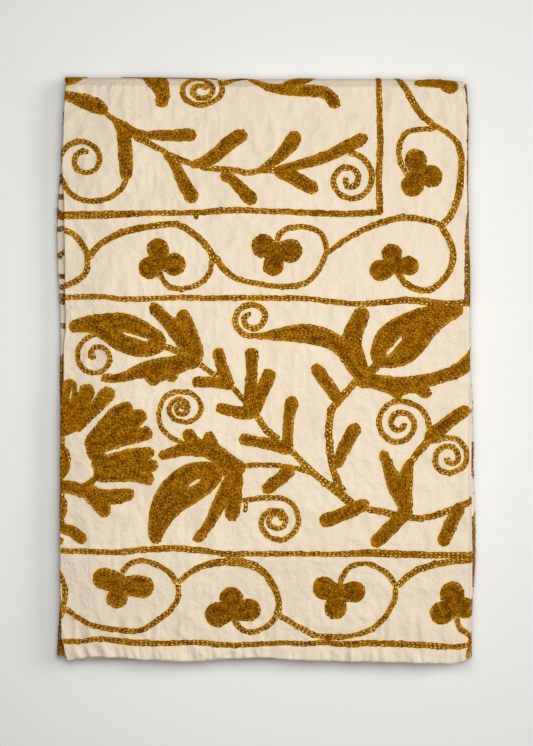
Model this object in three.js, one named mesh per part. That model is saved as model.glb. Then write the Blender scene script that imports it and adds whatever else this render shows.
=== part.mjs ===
// Embroidered tablecloth, folded in half twice each way into a flat packet of sixteen layers.
// Millimetres, +Z up. X runs across the packet, +Y towards the long outer fold, -Y towards the hem.
// The origin is under the middle of the packet, on the surface that it lies on.

import * as THREE from 'three';

// Driving dimensions of the folded packet and of the cloth it is made from
const PACKET_WIDTH = 408;
const PACKET_LENGTH = 583;
const CLOTH_THICKNESS = 1.15;
const LAYER_GAP = 0.45;
const SIDE_HEM_INSET = 52;
const END_HEM_INSET = 3;

// Sizes that follow from them
const LAYER_PITCH = CLOTH_THICKNESS + LAYER_GAP;
const LAYERS_IN_PLY = 4;
const PLIES = 4;
const PLY_PITCH = LAYERS_IN_PLY * LAYER_PITCH;
const PACKET_HEIGHT = PLIES * PLY_PITCH - LAYER_GAP;

// Where a fold's straight runs have extra sections, as shares of the run
const ACROSS_SHARES = [0, 0.05, 0.12, 0.3, 0.5, 0.7, 0.88, 0.95, 1];
const ALONG_SHARES = [0, 0.03, 0.1, 0.22, 0.36, 0.5, 0.64, 0.78, 0.9, 1];
const ACROSS_BEND_STEPS = 5;
const ALONG_BEND_STEPS = 7;

// How far each ply's folded sides stand out past the nominal width, at five marks from hem to fold
const EDGE_MARKS = [0, 0.25, 0.5, 0.75, 1];
const PLY_EDGES = [
  { ply: 'on the surface', left: [-2, -2, -2, -2, -2], right: [-1, -1, -1, -1, -1] },
  { ply: 'second', left: [2, -1, 2, 4, -2], right: [4, 6.5, 3, -1, -3] },
  { ply: 'third', left: [6, 0, 3, 6.5, -2], right: [3, 3, 1, -1, -3] },
  { ply: 'on top', left: [2, 2.3, -0.5, -1.7, -2.5], right: [0.5, 1, 0.5, -0.5, -2.5] },
];

// The slow unevenness of the folded sides and of the hem, which starts above the lowest layer
const EDGE_WAVE = { size: 0.7, length: 140 };
const RIGHT_EDGE_PHASE = 2;
const HEM_WAVE = { size: 1.5, length: 230, reach: 70 };

// The packet's height at marks across and along it, as shares of its even height
const HEIGHT_ACROSS = {
  marks: [0, 0.04, 0.12, 0.5, 0.84, 0.92, 0.98, 1],
  shares: [0.98, 0.99, 1, 1, 0.99, 0.975, 1, 0.99],
};
const HEIGHT_ALONG = {
  marks: [0, 0.04, 0.12, 0.5, 0.9, 0.96, 1],
  shares: [0.93, 0.95, 0.99, 1, 0.99, 0.97, 0.96],
};

// On the left, where the side hems stop short, the folds sag into the two spaces that they leave,
// each a ply high and starting above this many layers
const SIDE_SAG = 4.5;
const LOWER_SPACE_FROM = 2;
const UPPER_SPACE_FROM = 10;

const CREAM_COTTON = new THREE.MeshStandardMaterial({ color: 0xe6d8c0, roughness: 0.95, metalness: 0 });

/**
 * The line that a strip follows when it is folded in half and in half again: out along the outer run,
 * round the outer bend, back, round the centre fold at the near end, out again, round the inner bend
 * inside the outer one, and back to its second hem. Each station has its place along and above the
 * strip's middle, and its heading.
 */
function foldTwice({ span, pitch, hemInset, side, shares, bendSteps }) {
  const near = -span / 2;
  const farCentre = span / 2 - 2 * pitch;
  const centreFold = near + pitch;
  const runs = [
    { level: 1.5, from: near + hemInset, to: farCentre },
    { level: -1.5, from: farCentre, to: centreFold },
    { level: -0.5, from: centreFold, to: farCentre },
    { level: 0.5, from: farCentre, to: near + hemInset },
  ];
  const stations = [];
  runs.forEach((run, index) => {
    const outward = run.to > run.from ? 0 : Math.PI;
    for (const share of shares) {
      const along = THREE.MathUtils.lerp(run.from, run.to, share);
      stations.push({ along, level: side * run.level * pitch, heading: outward });
    }
    const next = runs[index + 1];
    if (!next) return;
    const middle = (run.level + next.level) / 2;
    const radius = Math.abs(run.level - next.level) / 2;
    const rising = Math.sign(next.level - run.level);
    const bulge = outward === 0 ? 1 : -1;
    for (let step = 1; step < bendSteps; step += 1) {
      const turn = (Math.PI * step) / bendSteps;
      stations.push({
        along: run.to + bulge * radius * pitch * Math.sin(turn),
        level: side * (middle - rising * radius * Math.cos(turn)) * pitch,
        heading: outward + side * rising * bulge * turn,
      });
    }
  });
  return stations;
}

/** The way that the packet's plies run lengthwise, with a station wherever the sweep needs a section. */
class LengthwiseFold extends THREE.Curve {
  constructor(stations) {
    super();
    this.stations = stations;
  }

  stationAt(share) {
    return this.stations[Math.round(share * (this.stations.length - 1))];
  }

  getPointAt(share, target = new THREE.Vector3()) {
    const { along, level } = this.stationAt(share);
    return target.set(0, along, PACKET_HEIGHT / 2 + level);
  }

  getTangentAt(share, target = new THREE.Vector3()) {
    const { heading } = this.stationAt(share);
    return target.set(0, Math.cos(heading), Math.sin(heading));
  }
}

/** The closed outline of one ply's four layers of cloth, seen along the packet's length. */
function plySection() {
  const line = foldTwice({
    span: PACKET_WIDTH,
    pitch: LAYER_PITCH,
    hemInset: SIDE_HEM_INSET,
    side: -1,
    shares: ACROSS_SHARES,
    bendSteps: ACROSS_BEND_STEPS,
  });
  const offset = (station, distance) => {
    const across = station.along - Math.sin(station.heading) * distance;
    const height = station.level + Math.cos(station.heading) * distance;
    return new THREE.Vector2(-height, -across);
  };
  const face = line.map((station) => offset(station, CLOTH_THICKNESS / 2));
  const back = line.map((station) => offset(station, -CLOTH_THICKNESS / 2)).reverse();
  return new THREE.Shape([...face, ...back]);
}

/** A smooth value through a row of marks at a share of the way along them. */
function between(marks, values, share) {
  const last = marks.length - 2;
  const index = Math.min(last, Math.max(0, marks.findLastIndex((mark) => mark <= share)));
  const step = THREE.MathUtils.smoothstep(share, marks[index], marks[index + 1]);
  return THREE.MathUtils.lerp(values[index], values[index + 1], step);
}

/** How far a folded side stands out at a height in the packet and a share of its length. */
function edgeAt(side, height, share) {
  const ply = THREE.MathUtils.clamp(height / PLY_PITCH - 0.5, 0, PLIES - 1);
  const lower = between(EDGE_MARKS, PLY_EDGES[Math.floor(ply)][side], share);
  const upper = between(EDGE_MARKS, PLY_EDGES[Math.ceil(ply)][side], share);
  return THREE.MathUtils.lerp(lower, upper, ply - Math.floor(ply));
}

/** A wave of a given size and length at a place, shifted by a phase. */
function wave({ size, length }, place, phase) {
  return size * Math.sin((2 * Math.PI * place) / length + phase);
}

/** The share of the side's sag at a height: it grows over the two spaces that the side hems leave. */
function sagShare(height) {
  const layer = height / LAYER_PITCH;
  const lowerSpace = THREE.MathUtils.clamp((layer - LOWER_SPACE_FROM) / LAYERS_IN_PLY, 0, 1);
  const upperSpace = THREE.MathUtils.clamp((layer - UPPER_SPACE_FROM) / LAYERS_IN_PLY, 0, 1);
  return (lowerSpace + upperSpace) / 2;
}

/** Moves one point of the evenly folded packet to where the soft cloth settles. */
function settle(point) {
  const { x, y, z } = point;
  const acrossShare = THREE.MathUtils.clamp(x / PACKET_WIDTH + 0.5, 0, 1);
  const alongShare = THREE.MathUtils.clamp(y / PACKET_LENGTH + 0.5, 0, 1);

  const aloft = THREE.MathUtils.smoothstep(z, CLOTH_THICKNESS, PLY_PITCH);
  const leftOut = edgeAt('left', z, alongShare) + aloft * wave(EDGE_WAVE, y, z / PLY_PITCH);
  const rightWave = wave(EDGE_WAVE, y, RIGHT_EDGE_PHASE + z / PLY_PITCH);
  const rightOut = edgeAt('right', z, alongShare) + aloft * rightWave;
  point.x = x + THREE.MathUtils.lerp(-leftOut, rightOut, acrossShare);

  const fromHem = y + PACKET_LENGTH / 2;
  const nearHem = 1 - THREE.MathUtils.smoothstep(fromHem, 0, HEM_WAVE.reach);
  point.y = y + aloft * nearHem * wave(HEM_WAVE, x, z / LAYER_PITCH);

  const fromLeft = x + PACKET_WIDTH / 2;
  const sag = SIDE_SAG * (1 - THREE.MathUtils.smoothstep(fromLeft, 0, SIDE_HEM_INSET)) * sagShare(z);
  const across = between(HEIGHT_ACROSS.marks, HEIGHT_ACROSS.shares, acrossShare);
  const along = between(HEIGHT_ALONG.marks, HEIGHT_ALONG.shares, alongShare);
  point.z = (z - sag) * across * along;
}

/** The whole cloth as one solid: the ply's section swept along the lengthwise fold, then settled. */
function foldedCloth() {
  const stations = foldTwice({
    span: PACKET_LENGTH,
    pitch: PLY_PITCH,
    hemInset: END_HEM_INSET,
    side: 1,
    shares: ALONG_SHARES,
    bendSteps: ALONG_BEND_STEPS,
  });
  const geometry = new THREE.ExtrudeGeometry(plySection(), {
    steps: stations.length - 1,
    extrudePath: new LengthwiseFold(stations),
    bevelEnabled: false,
  });
  const places = geometry.getAttribute('position');
  const point = new THREE.Vector3();
  for (let index = 0; index < places.count; index += 1) {
    settle(point.fromBufferAttribute(places, index));
    places.setXYZ(index, point.x, point.y, point.z);
  }
  geometry.computeBoundingBox();
  const { min, max } = geometry.boundingBox;
  geometry.translate(-(min.x + max.x) / 2, -(min.y + max.y) / 2, -min.z);
  geometry.computeVertexNormals();
  return geometry;
}

const tablecloth = new THREE.Mesh(foldedCloth(), CREAM_COTTON);
tablecloth.name = 'folded_tablecloth';

const packet = new THREE.Group();
packet.add(tablecloth);

export default packet;
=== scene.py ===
"""Looks of the folded embroidered tablecloth: its cotton sheet, its chain stitches and a plain studio."""

import logging
import math
from collections.abc import Iterable, Sequence
from dataclasses import dataclass, field
from enum import Enum, IntEnum

import bpy
import numpy as np
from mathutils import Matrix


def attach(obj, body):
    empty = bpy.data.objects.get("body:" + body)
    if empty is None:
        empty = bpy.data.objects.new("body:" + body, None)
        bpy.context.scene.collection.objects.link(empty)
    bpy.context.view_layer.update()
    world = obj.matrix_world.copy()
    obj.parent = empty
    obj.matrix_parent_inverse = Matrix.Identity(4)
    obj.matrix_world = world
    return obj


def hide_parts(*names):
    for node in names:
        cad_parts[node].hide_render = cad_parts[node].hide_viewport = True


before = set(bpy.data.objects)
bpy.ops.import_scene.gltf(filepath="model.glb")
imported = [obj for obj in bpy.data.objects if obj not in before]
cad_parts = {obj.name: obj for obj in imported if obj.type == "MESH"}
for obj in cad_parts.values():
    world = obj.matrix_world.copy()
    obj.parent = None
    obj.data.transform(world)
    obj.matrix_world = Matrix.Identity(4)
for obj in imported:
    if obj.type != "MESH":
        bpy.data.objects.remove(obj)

LOG = logging.getLogger("tablecloth")
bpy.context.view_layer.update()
MM = 0.001

# The pattern sheet: a drawing in millimetres laid over the packet, x to the right and y down
LEFT_FOLD_X = 62.0
PACKET_MIDDLE = (266.0, 368.0)
SHEET_MIDDLE = (266.5, 373.0)
SHEET_HEIGHT = 746.0
DRAWN_STEP = 1.0

# Where the top layer starts to turn down at the outer fold, and the radius of its face there
FOLD_START_Y = 89.3
FOLD_RADIUS = 12.0

# A place to the right and down, and a mark with its place and the width of the sewing there
Place = tuple[float, float]
Mark = tuple[float, float, float]


class Region(Enum):
    """The parts of the design, each sewn as one piece of embroidery."""

    FIELD = "field"
    INNER_BORDER = "inner_border"
    PANEL_LEFT = "panel_left"
    PANEL_RIGHT = "panel_right"
    OUTER_BORDER = "outer_border"
    FOLDS = "folds"


class Column(IntEnum):
    """The numbers in a stitch's row. Openness and how light the dye is go from 0 to 1."""

    X = 0
    Y = 1
    HEADING = 2
    LENGTH = 3
    WIDTH = 4
    OPENNESS = 5
    DYE = 6


class Winding(Enum):
    """The way that a curl winds inwards on the pattern sheet."""

    CLOCKWISE = 1
    ANTICLOCKWISE = -1


def smooth(value: np.ndarray, low: float | np.ndarray, high: float | np.ndarray) -> np.ndarray:
    """A smooth step from 0 at low to 1 at high."""
    share = np.clip((value - low) / (high - low), 0.0, 1.0)
    return share * share * (3.0 - 2.0 * share)


def through_marks(marks: Sequence[float], values: Sequence[float], share: np.ndarray) -> np.ndarray:
    """A smooth value through a row of marks.

    Args:
        marks: Where the values are given, in rising order.
        values: The value at each mark.
        share: The places to find.

    Returns:
        The value at each place.
    """
    places = np.asarray(marks)
    index = np.clip(np.searchsorted(places, share, side="right") - 1, 0, len(places) - 2)
    table = np.asarray(values)
    step = smooth(share, places[index], places[index + 1])
    return table[index] + (table[index + 1] - table[index]) * step


def smooth_line(marks: np.ndarray, step: float) -> np.ndarray:
    """Closely spaced points on a smooth line through marks.

    Args:
        marks: One row a mark, its first two columns its place.
        step: The spacing aimed at, in millimetres.

    Returns:
        One row a point, with the columns of the marks.
    """
    padded = np.vstack([2 * marks[0] - marks[1], marks, 2 * marks[-1] - marks[-2]])
    rows = []
    for before, start, end, after in zip(padded, padded[1:], padded[2:], padded[3:]):
        count = max(2, int(np.hypot(*(end - start)[:2]) / step))
        t = np.linspace(0.0, 1.0, count, endpoint=False)[:, None]
        bend = 2 * before - 5 * start + 4 * end - after
        twist = 3 * start - before - 3 * end + after
        rows.append(0.5 * (2 * start + (end - before) * t + bend * t**2 + twist * t**3))
    rows.append(marks[-1:])
    return np.vstack(rows)


class SoftNoise:
    """Seeded soft unevenness: random heights on a lattice, smoothly joined."""

    LATTICE = 256

    def __init__(self, seed: int, cell_x: float, cell_y: float) -> None:
        """Sets out the lattice.

        Args:
            seed: The seed of its heights.
            cell_x: The lattice's step across, in millimetres.
            cell_y: The lattice's step along.
        """
        self.heights = np.random.default_rng(seed).uniform(-1.0, 1.0, (self.LATTICE, self.LATTICE))
        self.cell_x = cell_x
        self.cell_y = cell_y

    def at(self, x: np.ndarray, y: np.ndarray) -> np.ndarray:
        """The height at places.

        Args:
            x: Places across.
            y: Places along.

        Returns:
            Heights from -1 to 1.
        """
        column, row = x / self.cell_x + self.LATTICE / 2, y / self.cell_y + self.LATTICE / 2
        i, j = np.floor(column).astype(int), np.floor(row).astype(int)
        a, b = smooth(column - i, 0.0, 1.0), smooth(row - j, 0.0, 1.0)
        i0, i1 = i % self.LATTICE, (i + 1) % self.LATTICE
        j0, j1 = j % self.LATTICE, (j + 1) % self.LATTICE
        near = self.heights[j0, i0] * (1 - a) + self.heights[j0, i1] * a
        far = self.heights[j1, i0] * (1 - a) + self.heights[j1, i1] * a
        return near * (1 - b) + far * b

    def ridges(self, x: np.ndarray, y: np.ndarray) -> np.ndarray:
        """Sharper ridges between flat hollows, from 0 to 1."""
        return (1 - np.abs(self.at(x, y))) ** 2


@dataclass(frozen=True)
class Leg:
    """One run or bend of a folded strip, from where it starts along the strip. A run has no radius."""

    start: float
    length: float
    along: float
    outward: float
    level: float
    radius: float = 0.0
    turning: float = 0.0


@dataclass(frozen=True)
class FoldedLine:
    """A strip folded in half and in half again, seen from its edge. Sizes are in millimetres."""

    # Places in the list of legs: the bends at the two ends of the second run, and that run
    OUTER_BEND = 1
    SECOND_RUN = 2
    CENTRE_BEND = 3

    span: float
    pitch: float
    hem_inset: float
    side: int

    def legs(self) -> list[Leg]:
        """Sets out the folded strip.

        Returns:
            The four runs and the three bends between them, in order along the strip.
        """
        near, far = -self.span / 2, self.span / 2 - 2 * self.pitch
        hem, centre = near + self.hem_inset, near + self.pitch
        # Each run's level in pitches above the middle, and where it begins and ends
        runs = ((1.5, hem, far), (-1.5, far, centre), (-0.5, centre, far), (0.5, far, hem))
        legs: list[Leg] = []
        start = 0.0
        for index, (level, begin, end) in enumerate(runs):
            outward = 0.0 if end > begin else math.pi
            length = abs(end - begin)
            legs.append(Leg(start, length, begin, outward, self.side * level * self.pitch))
            start += length
            if index + 1 == len(runs):
                break
            rise = runs[index + 1][0] - level
            radius = abs(rise) / 2 * self.pitch
            bulge = 1.0 if outward == 0.0 else -1.0
            turning = self.side * math.copysign(1.0, rise) * bulge
            middle = self.side * (level + rise / 2) * self.pitch
            legs.append(Leg(start, math.pi * radius, end, outward, middle, radius, turning))
            start += math.pi * radius
        return legs

    def length(self) -> float:
        """The whole strip's length."""
        last = self.legs()[-1]
        return last.start + last.length

    def place(self, strip: np.ndarray) -> tuple[np.ndarray, np.ndarray, np.ndarray]:
        """Where places along the strip lie when it is folded.

        Args:
            strip: Distances along the strip from its first hem.

        Returns:
            The place along the packet, the height from its middle, and the heading.
        """
        along, level, heading = (np.zeros_like(strip) for _ in range(3))
        for leg in self.legs():
            here = strip >= leg.start if leg.start else np.full(strip.shape, True)
            run = strip[here] - leg.start
            if leg.radius:
                turn = run / leg.radius
                bulge = math.cos(leg.outward)
                along[here] = leg.along + bulge * leg.radius * np.sin(turn)
                level[here] = leg.level - leg.turning * bulge * leg.radius * np.cos(turn)
                heading[here] = leg.outward + leg.turning * turn
            else:
                along[here] = leg.along + math.cos(leg.outward) * run
                level[here] = leg.level
                heading[here] = leg.outward
        return along, level, heading


@dataclass(frozen=True)
class SoftLine:
    """A smooth row of values at shares of the way across or along the packet, such as a side's unevenness."""

    values: tuple[float, ...]
    marks: tuple[float, ...] = (0.0, 0.25, 0.5, 0.75, 1.0)

    def at(self, share: np.ndarray) -> np.ndarray:
        """The value at each share."""
        return through_marks(self.marks, self.values, share)


@dataclass(frozen=True)
class Crease:
    """A soft trough or ridge drawn on the pattern sheet, with its height and half width."""

    # The least and greatest share of the length that its fading counts, and how soon it fades at its ends
    ENDS = (0.02, 0.98)
    FADING = 0.5

    start: Place
    end: Place
    height: float
    reach: float

    def at(self, x: np.ndarray, y: np.ndarray) -> np.ndarray:
        """Its height at places on the pattern sheet.

        Args:
            x: Places to the right.
            y: Places down.

        Returns:
            The heights.
        """
        begin, run = np.array(self.start), np.subtract(self.end, self.start)
        share = ((x - begin[0]) * run[0] + (y - begin[1]) * run[1]) / (run @ run)
        held = np.clip(share, 0.0, 1.0)
        away = np.hypot(x - begin[0] - held * run[0], y - begin[1] - held * run[1])
        fade = np.sin(math.pi * np.clip(share, *self.ENDS)) ** self.FADING
        return self.height * fade * np.exp(-((away / self.reach) ** 2))


# Creases on the pattern sheet: where each starts and ends, x and y, its height and its half width
CREASES = (
    (108, 186, 136, 220, 0.7, 5), (100, 205, 150, 186, -0.6, 6), (70, 206, 112, 226, 0.6, 5),
    (62, 336, 92, 312, -0.9, 5), (62, 344, 84, 352, 0.7, 4), (300, 98, 352, 128, 0.5, 9),
    (205, 108, 262, 122, -0.5, 9), (444, 150, 452, 320, -0.7, 8), (458, 380, 452, 640, -0.6, 9),
    (430, 240, 468, 262, 0.5, 6), (300, 486, 316, 546, 0.6, 7), (122, 530, 152, 548, -0.5, 7),
    (186, 604, 214, 640, 0.6, 6), (290, 568, 316, 618, -0.5, 8), (66, 560, 100, 572, 0.6, 6),
    (402, 606, 430, 640, 0.5, 7), (64, 652, 96, 644, -0.8, 5), (83, 645, 86, 660, 1.4, 2.5),
    (131, 647, 133, 658, 1, 2.5), (150, 650, 157, 661, 1.2, 2.5), (197, 649, 210, 661, 1.4, 2.5),
    (212, 655, 238, 648, 1.2, 2.5), (166, 617, 170, 631, 1.2, 2.6), (152, 639, 168, 634, 1.3, 2.6),
    (178, 625, 188, 638, 1.4, 2.6), (196, 638, 207, 625, 1.2, 2.6), (295, 625, 307, 638, 1.2, 2.6),
    (399, 608, 404, 633, 1.3, 2.8), (431, 399, 439, 386, 1, 2.6), (318, 606, 332, 636, 1.2, 3),
    (303, 633, 317, 641, 1.2, 2.6), (345, 612, 372, 634, 1, 3), (393, 612, 396, 640, 1.2, 2.8),
    (410, 606, 408, 640, 1.2, 2.8), (418, 612, 424, 638, 1.3, 2.8), (432, 624, 436, 642, 1.1, 2.8),
    (398, 566, 404, 596, 1, 3.2), (416, 575, 430, 596, 0.9, 3.2), (447, 326, 447, 362, -0.9, 3),
    (455, 326, 454, 362, -0.9, 3), (72, 646, 76, 662, 1.5, 2.6), (100, 648, 108, 660, 1.2, 2.6),
    (176, 648, 180, 662, 1.3, 2.6), (250, 648, 262, 661, 1.3, 2.8), (286, 649, 290, 662, 1.2, 2.6),
    (336, 648, 340, 662, 1.3, 2.6), (372, 648, 376, 662, 1.4, 2.6), (412, 648, 414, 662, 1.4, 2.6),
)


@dataclass(frozen=True)
class PuckerBand:
    """A row of small ridges that sewing draws up along a line across the cloth."""

    # The ridges' size along the cloth, in reaches of the band
    STRETCH = 2.5

    line: float
    reach: float
    height: float
    length: float
    seed: int

    def at(self, x: np.ndarray, y: np.ndarray) -> np.ndarray:
        """Its height at places on the pattern sheet."""
        ridges = SoftNoise(self.seed, self.length, self.reach * self.STRETCH).ridges(x, y)
        return self.height * ridges * np.exp(-(((y - self.line) / self.reach) ** 2))


@dataclass(frozen=True)
class Packet:
    """The folded packet: where each place of the flat cloth lies. Sizes are in millimetres."""

    width: float = 408.0
    length: float = 583.0
    layer_pitch: float = 1.6
    layer_gap: float = 0.45
    layers_in_ply: int = 4
    plies: int = 4
    side_hem_inset: float = 52.0
    end_hem_inset: float = 0.0
    # The sag at the left side, and the layers where the two spaces that the side hems leave begin
    side_sag: float = 4.5
    spaces_from: tuple[float, float] = (2.0, 10.0)
    # How far the settled packet is moved to lie evenly about the origin
    centring: Place = (-0.13, 0.83)
    # The folded sides of the four plies, from the lowest
    left_edges: tuple[SoftLine, ...] = (
        SoftLine((-2, -2, -2, -2, -2)),
        SoftLine((2, -1, 2, 4, -2)),
        SoftLine((6, 0, 3, 6.5, -2)),
        SoftLine(
            (-4, -1, 1.7, 2.8, 2.2, 1.5, -0.7, -0.7, -2.7, -2, -1.3, 0.8, -0.5, -3),
            (0, 0.023, 0.042, 0.17, 0.4, 0.445, 0.48, 0.536, 0.565, 0.65, 0.77, 0.85, 0.917, 0.995),
        ),
    )
    right_edges: tuple[SoftLine, ...] = (
        SoftLine((-1, -1, -1, -1, -1)),
        SoftLine((4, 6.5, 3, -1, -3)),
        SoftLine((3, 3, 1, -1, -3)),
        SoftLine(
            (-0.5, 0.2, 0.7, -0.8, 0, 0.4, -1.2, -2, -1.2, -3.5),
            (0, 0.12, 0.24, 0.345, 0.43, 0.65, 0.75, 0.83, 0.93, 0.99),
        ),
    )
    # The size and length of the sides' slow wave, its lead on the right, and the plies where it ends
    edge_wave: tuple[float, float] = (0.7, 140.0)
    right_lead: float = 2.0
    wave_until: tuple[float, float] = (2.6, 3.0)
    # The unevenness of the hem and the outer fold, from left to right, and how far it reaches into the cloth
    hem_line: SoftLine = SoftLine(
        (-2.0, -1.5, 0.5, 2.7, 2.1, -0.5, -2.1, 0.7, 2.1, 0.3, -1.2, -2.2, -3.4, -4.2, -3.0, 2.0),
        (0.0, 0.012, 0.03, 0.072, 0.12, 0.21, 0.31, 0.4, 0.5, 0.53, 0.62, 0.7, 0.85, 0.96, 0.98, 1.0),
    )
    fold_line: SoftLine = SoftLine(
        (1.0, 0.5, -0.8, -0.5, -0.5, -1.5, -3.0),
        (0.0, 0.17, 0.45, 0.6, 0.78, 0.93, 1.0),
    )
    hem_reach: float = 70.0
    # The lower layers' hem: from and up to what depth in layers it differs, its shift and its calm
    lower_hem: tuple[float, float] = (0.6, 3.0)
    hem_shift: float = 0.05
    hem_calm: float = 0.5
    # The packet's height at shares across and along it, as shares of its even height
    height_across: SoftLine = SoftLine(
        (0.98, 0.99, 1.0, 1.0, 0.99, 0.975, 1.0, 0.99),
        (0.0, 0.04, 0.12, 0.5, 0.84, 0.92, 0.98, 1.0),
    )
    height_along: SoftLine = SoftLine(
        (0.93, 0.95, 0.99, 1.0, 0.99, 0.97, 0.96),
        (0.0, 0.04, 0.12, 0.5, 0.9, 0.96, 1.0),
    )
    creases: tuple[Crease, ...] = tuple(
        Crease((start_x, start_y), (end_x, end_y), height, reach)
        for start_x, start_y, end_x, end_y, height, reach in CREASES
    )
    puckers: tuple[PuckerBand, ...] = (
        PuckerBand(213.0, 14.0, 1.3, 8.0, 21),
        PuckerBand(299.0, 14.0, 1.3, 8.0, 22),
        PuckerBand(552.0, 14.0, 1.4, 8.0, 23),
        PuckerBand(628.0, 20.0, 1.9, 8.0, 24),
        PuckerBand(655.0, 9.0, 3.0, 6.0, 25),
        PuckerBand(656.0, 9.0, 2.2, 5.0, 27),
        PuckerBand(84.0, 12.0, 1.4, 8.0, 26),
    )
    # Soft unevenness all over: broad swells, and rumples and crinkles on top, with their heights
    swell: SoftNoise = field(default_factory=lambda: SoftNoise(31, 62.0, 48.0))
    rumple: SoftNoise = field(default_factory=lambda: SoftNoise(32, 19.0, 26.0))
    crinkle: SoftNoise = field(default_factory=lambda: SoftNoise(33, 8.0, 11.0))
    swell_height: float = 0.55
    swell_most: float = 1.2
    rumple_height: float = 1.5
    crinkle_height: float = 1.0
    lowest: float = 0.05

    @property
    def ply_pitch(self) -> float:
        """The height of one ply."""
        return self.layers_in_ply * self.layer_pitch

    @property
    def height(self) -> float:
        """The packet's even height."""
        return self.plies * self.ply_pitch - self.layer_gap

    @property
    def across(self) -> FoldedLine:
        """The cloth's width, folded."""
        return FoldedLine(self.width, self.layer_pitch, self.side_hem_inset, -1)

    @property
    def lengthwise(self) -> FoldedLine:
        """The cloth's length, folded."""
        return FoldedLine(self.length, self.ply_pitch, self.end_hem_inset, 1)

    @property
    def left_fold(self) -> float:
        """Where the left centre fold's apex lies along the cloth's width."""
        bend = self.across.legs()[FoldedLine.CENTRE_BEND]
        return bend.start + bend.length / 2

    @property
    def outer_fold(self) -> Leg:
        """The bend that the top ply takes at the outer fold."""
        return self.lengthwise.legs()[FoldedLine.OUTER_BEND]

    def shares(self, x: np.ndarray, y: np.ndarray) -> tuple[np.ndarray, np.ndarray]:
        """How far across and along the packet places lie, from 0 to 1."""
        return np.clip(x / self.width + 0.5, 0.0, 1.0), np.clip(y / self.length + 0.5, 0.0, 1.0)

    def ply_edge(self, edges: Sequence[SoftLine], z: np.ndarray, share: np.ndarray) -> np.ndarray:
        """How far a folded side stands out.

        Args:
            edges: The side's plies, from the lowest.
            z: Heights in the packet.
            share: Shares of the packet's length, from the hem.

        Returns:
            Distances past the nominal width.
        """
        ply = np.clip(z / self.ply_pitch - 0.5, 0.0, len(edges) - 1.0)
        rows = np.stack([edge.at(share) for edge in edges])
        lower = np.floor(ply).astype(int)
        upper = np.minimum(lower + 1, len(edges) - 1)
        pick = np.arange(ply.size)
        rows = rows.reshape(len(edges), -1)
        low = rows[lower.ravel(), pick].reshape(ply.shape)
        high = rows[upper.ravel(), pick].reshape(ply.shape)
        return low + (high - low) * (ply - lower)

    def sideways(self, x: np.ndarray, y: np.ndarray, z: np.ndarray) -> np.ndarray:
        """How far the cloth lies to the right of its even place, as its folded sides stand out.

        Args:
            x: Places across the evenly folded packet.
            y: Places along it.
            z: Heights in it.

        Returns:
            The distances.
        """
        across, share = self.shares(x, y)
        size, length = self.edge_wave
        ending, ended = (plies * self.ply_pitch for plies in self.wave_until)
        loose = smooth(z, self.layer_pitch, self.ply_pitch) * (1 - smooth(z, ending, ended))
        phase = 2 * math.pi * y / length + z / self.ply_pitch
        left = self.ply_edge(self.left_edges, z, share) + loose * size * np.sin(phase)
        right = self.ply_edge(self.right_edges, z, share) + loose * size * np.sin(phase + self.right_lead)
        return -left + (left + right) * across

    def lengthways(self, x: np.ndarray, y: np.ndarray, z: np.ndarray) -> np.ndarray:
        """How far the cloth lies towards the fold of its even place, at its uneven hem and fold.

        Args:
            x: Places across the evenly folded packet.
            y: Places along it.
            z: Heights in it.

        Returns:
            The distances.
        """
        across, _ = self.shares(x, y)
        aloft = smooth(z, self.layer_pitch, self.ply_pitch)
        start, most = self.lower_hem
        deep = np.clip((self.height - z) / self.layer_pitch - start, 0.0, most)
        hem = self.hem_line.at(np.clip(across + self.hem_shift * deep, 0.0, 1.0))
        hem = hem * (1 - self.hem_calm * np.minimum(deep, 1.0))
        from_hem = y + self.length / 2
        near_hem = 1 - smooth(from_hem, 0.0, self.hem_reach)
        near_fold = smooth(y, self.length / 2 - self.hem_reach, self.length / 2)
        return aloft * (near_hem * hem + near_fold * self.fold_line.at(across))

    def relief(self, x: np.ndarray, y: np.ndarray) -> np.ndarray:
        """The height of creases, puckers and crinkles on the packet's top.

        Args:
            x: Places across the packet.
            y: Places along it.

        Returns:
            The heights.
        """
        sheet_x, sheet_y = x + PACKET_MIDDLE[0], PACKET_MIDDLE[1] - y
        total = self.rumple_height * self.rumple.ridges(x, y)
        total = total + self.crinkle_height * self.crinkle.ridges(x, y)
        for shape in (*self.creases, *self.puckers):
            total = total + shape.at(sheet_x, sheet_y)
        return total

    def sag_share(self, z: np.ndarray) -> np.ndarray:
        """The share of the left side's sag, which grows over the spaces that the side hems leave.

        Args:
            z: Heights in the packet.

        Returns:
            The shares.
        """
        layer = z / self.layer_pitch
        shares = [np.clip((layer - start) / self.layers_in_ply, 0.0, 1.0) for start in self.spaces_from]
        return (shares[0] + shares[1]) / 2

    def surface(self, u: np.ndarray, strip: np.ndarray, lift: np.ndarray, creased: bool = True) -> np.ndarray:
        """Where places of the cloth lie in the packet.

        Args:
            u: Distance across the cloth, to the right from its centre line at the left fold.
            strip: Distance along the cloth from the upper hem.
            lift: Distance off the middle of the cloth on its embroidered face.
            creased: Whether the fine relief of the top layer's face is there too.

        Returns:
            One row a place, in metres.
        """
        along, level, heading = self.across.place(self.left_fold - u)
        x = along + np.sin(heading) * lift
        above = level - np.cos(heading) * lift
        run, rise, turn = self.lengthwise.place(strip)
        y = run - np.sin(turn) * above
        z = self.height / 2 + rise + np.cos(turn) * above

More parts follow.
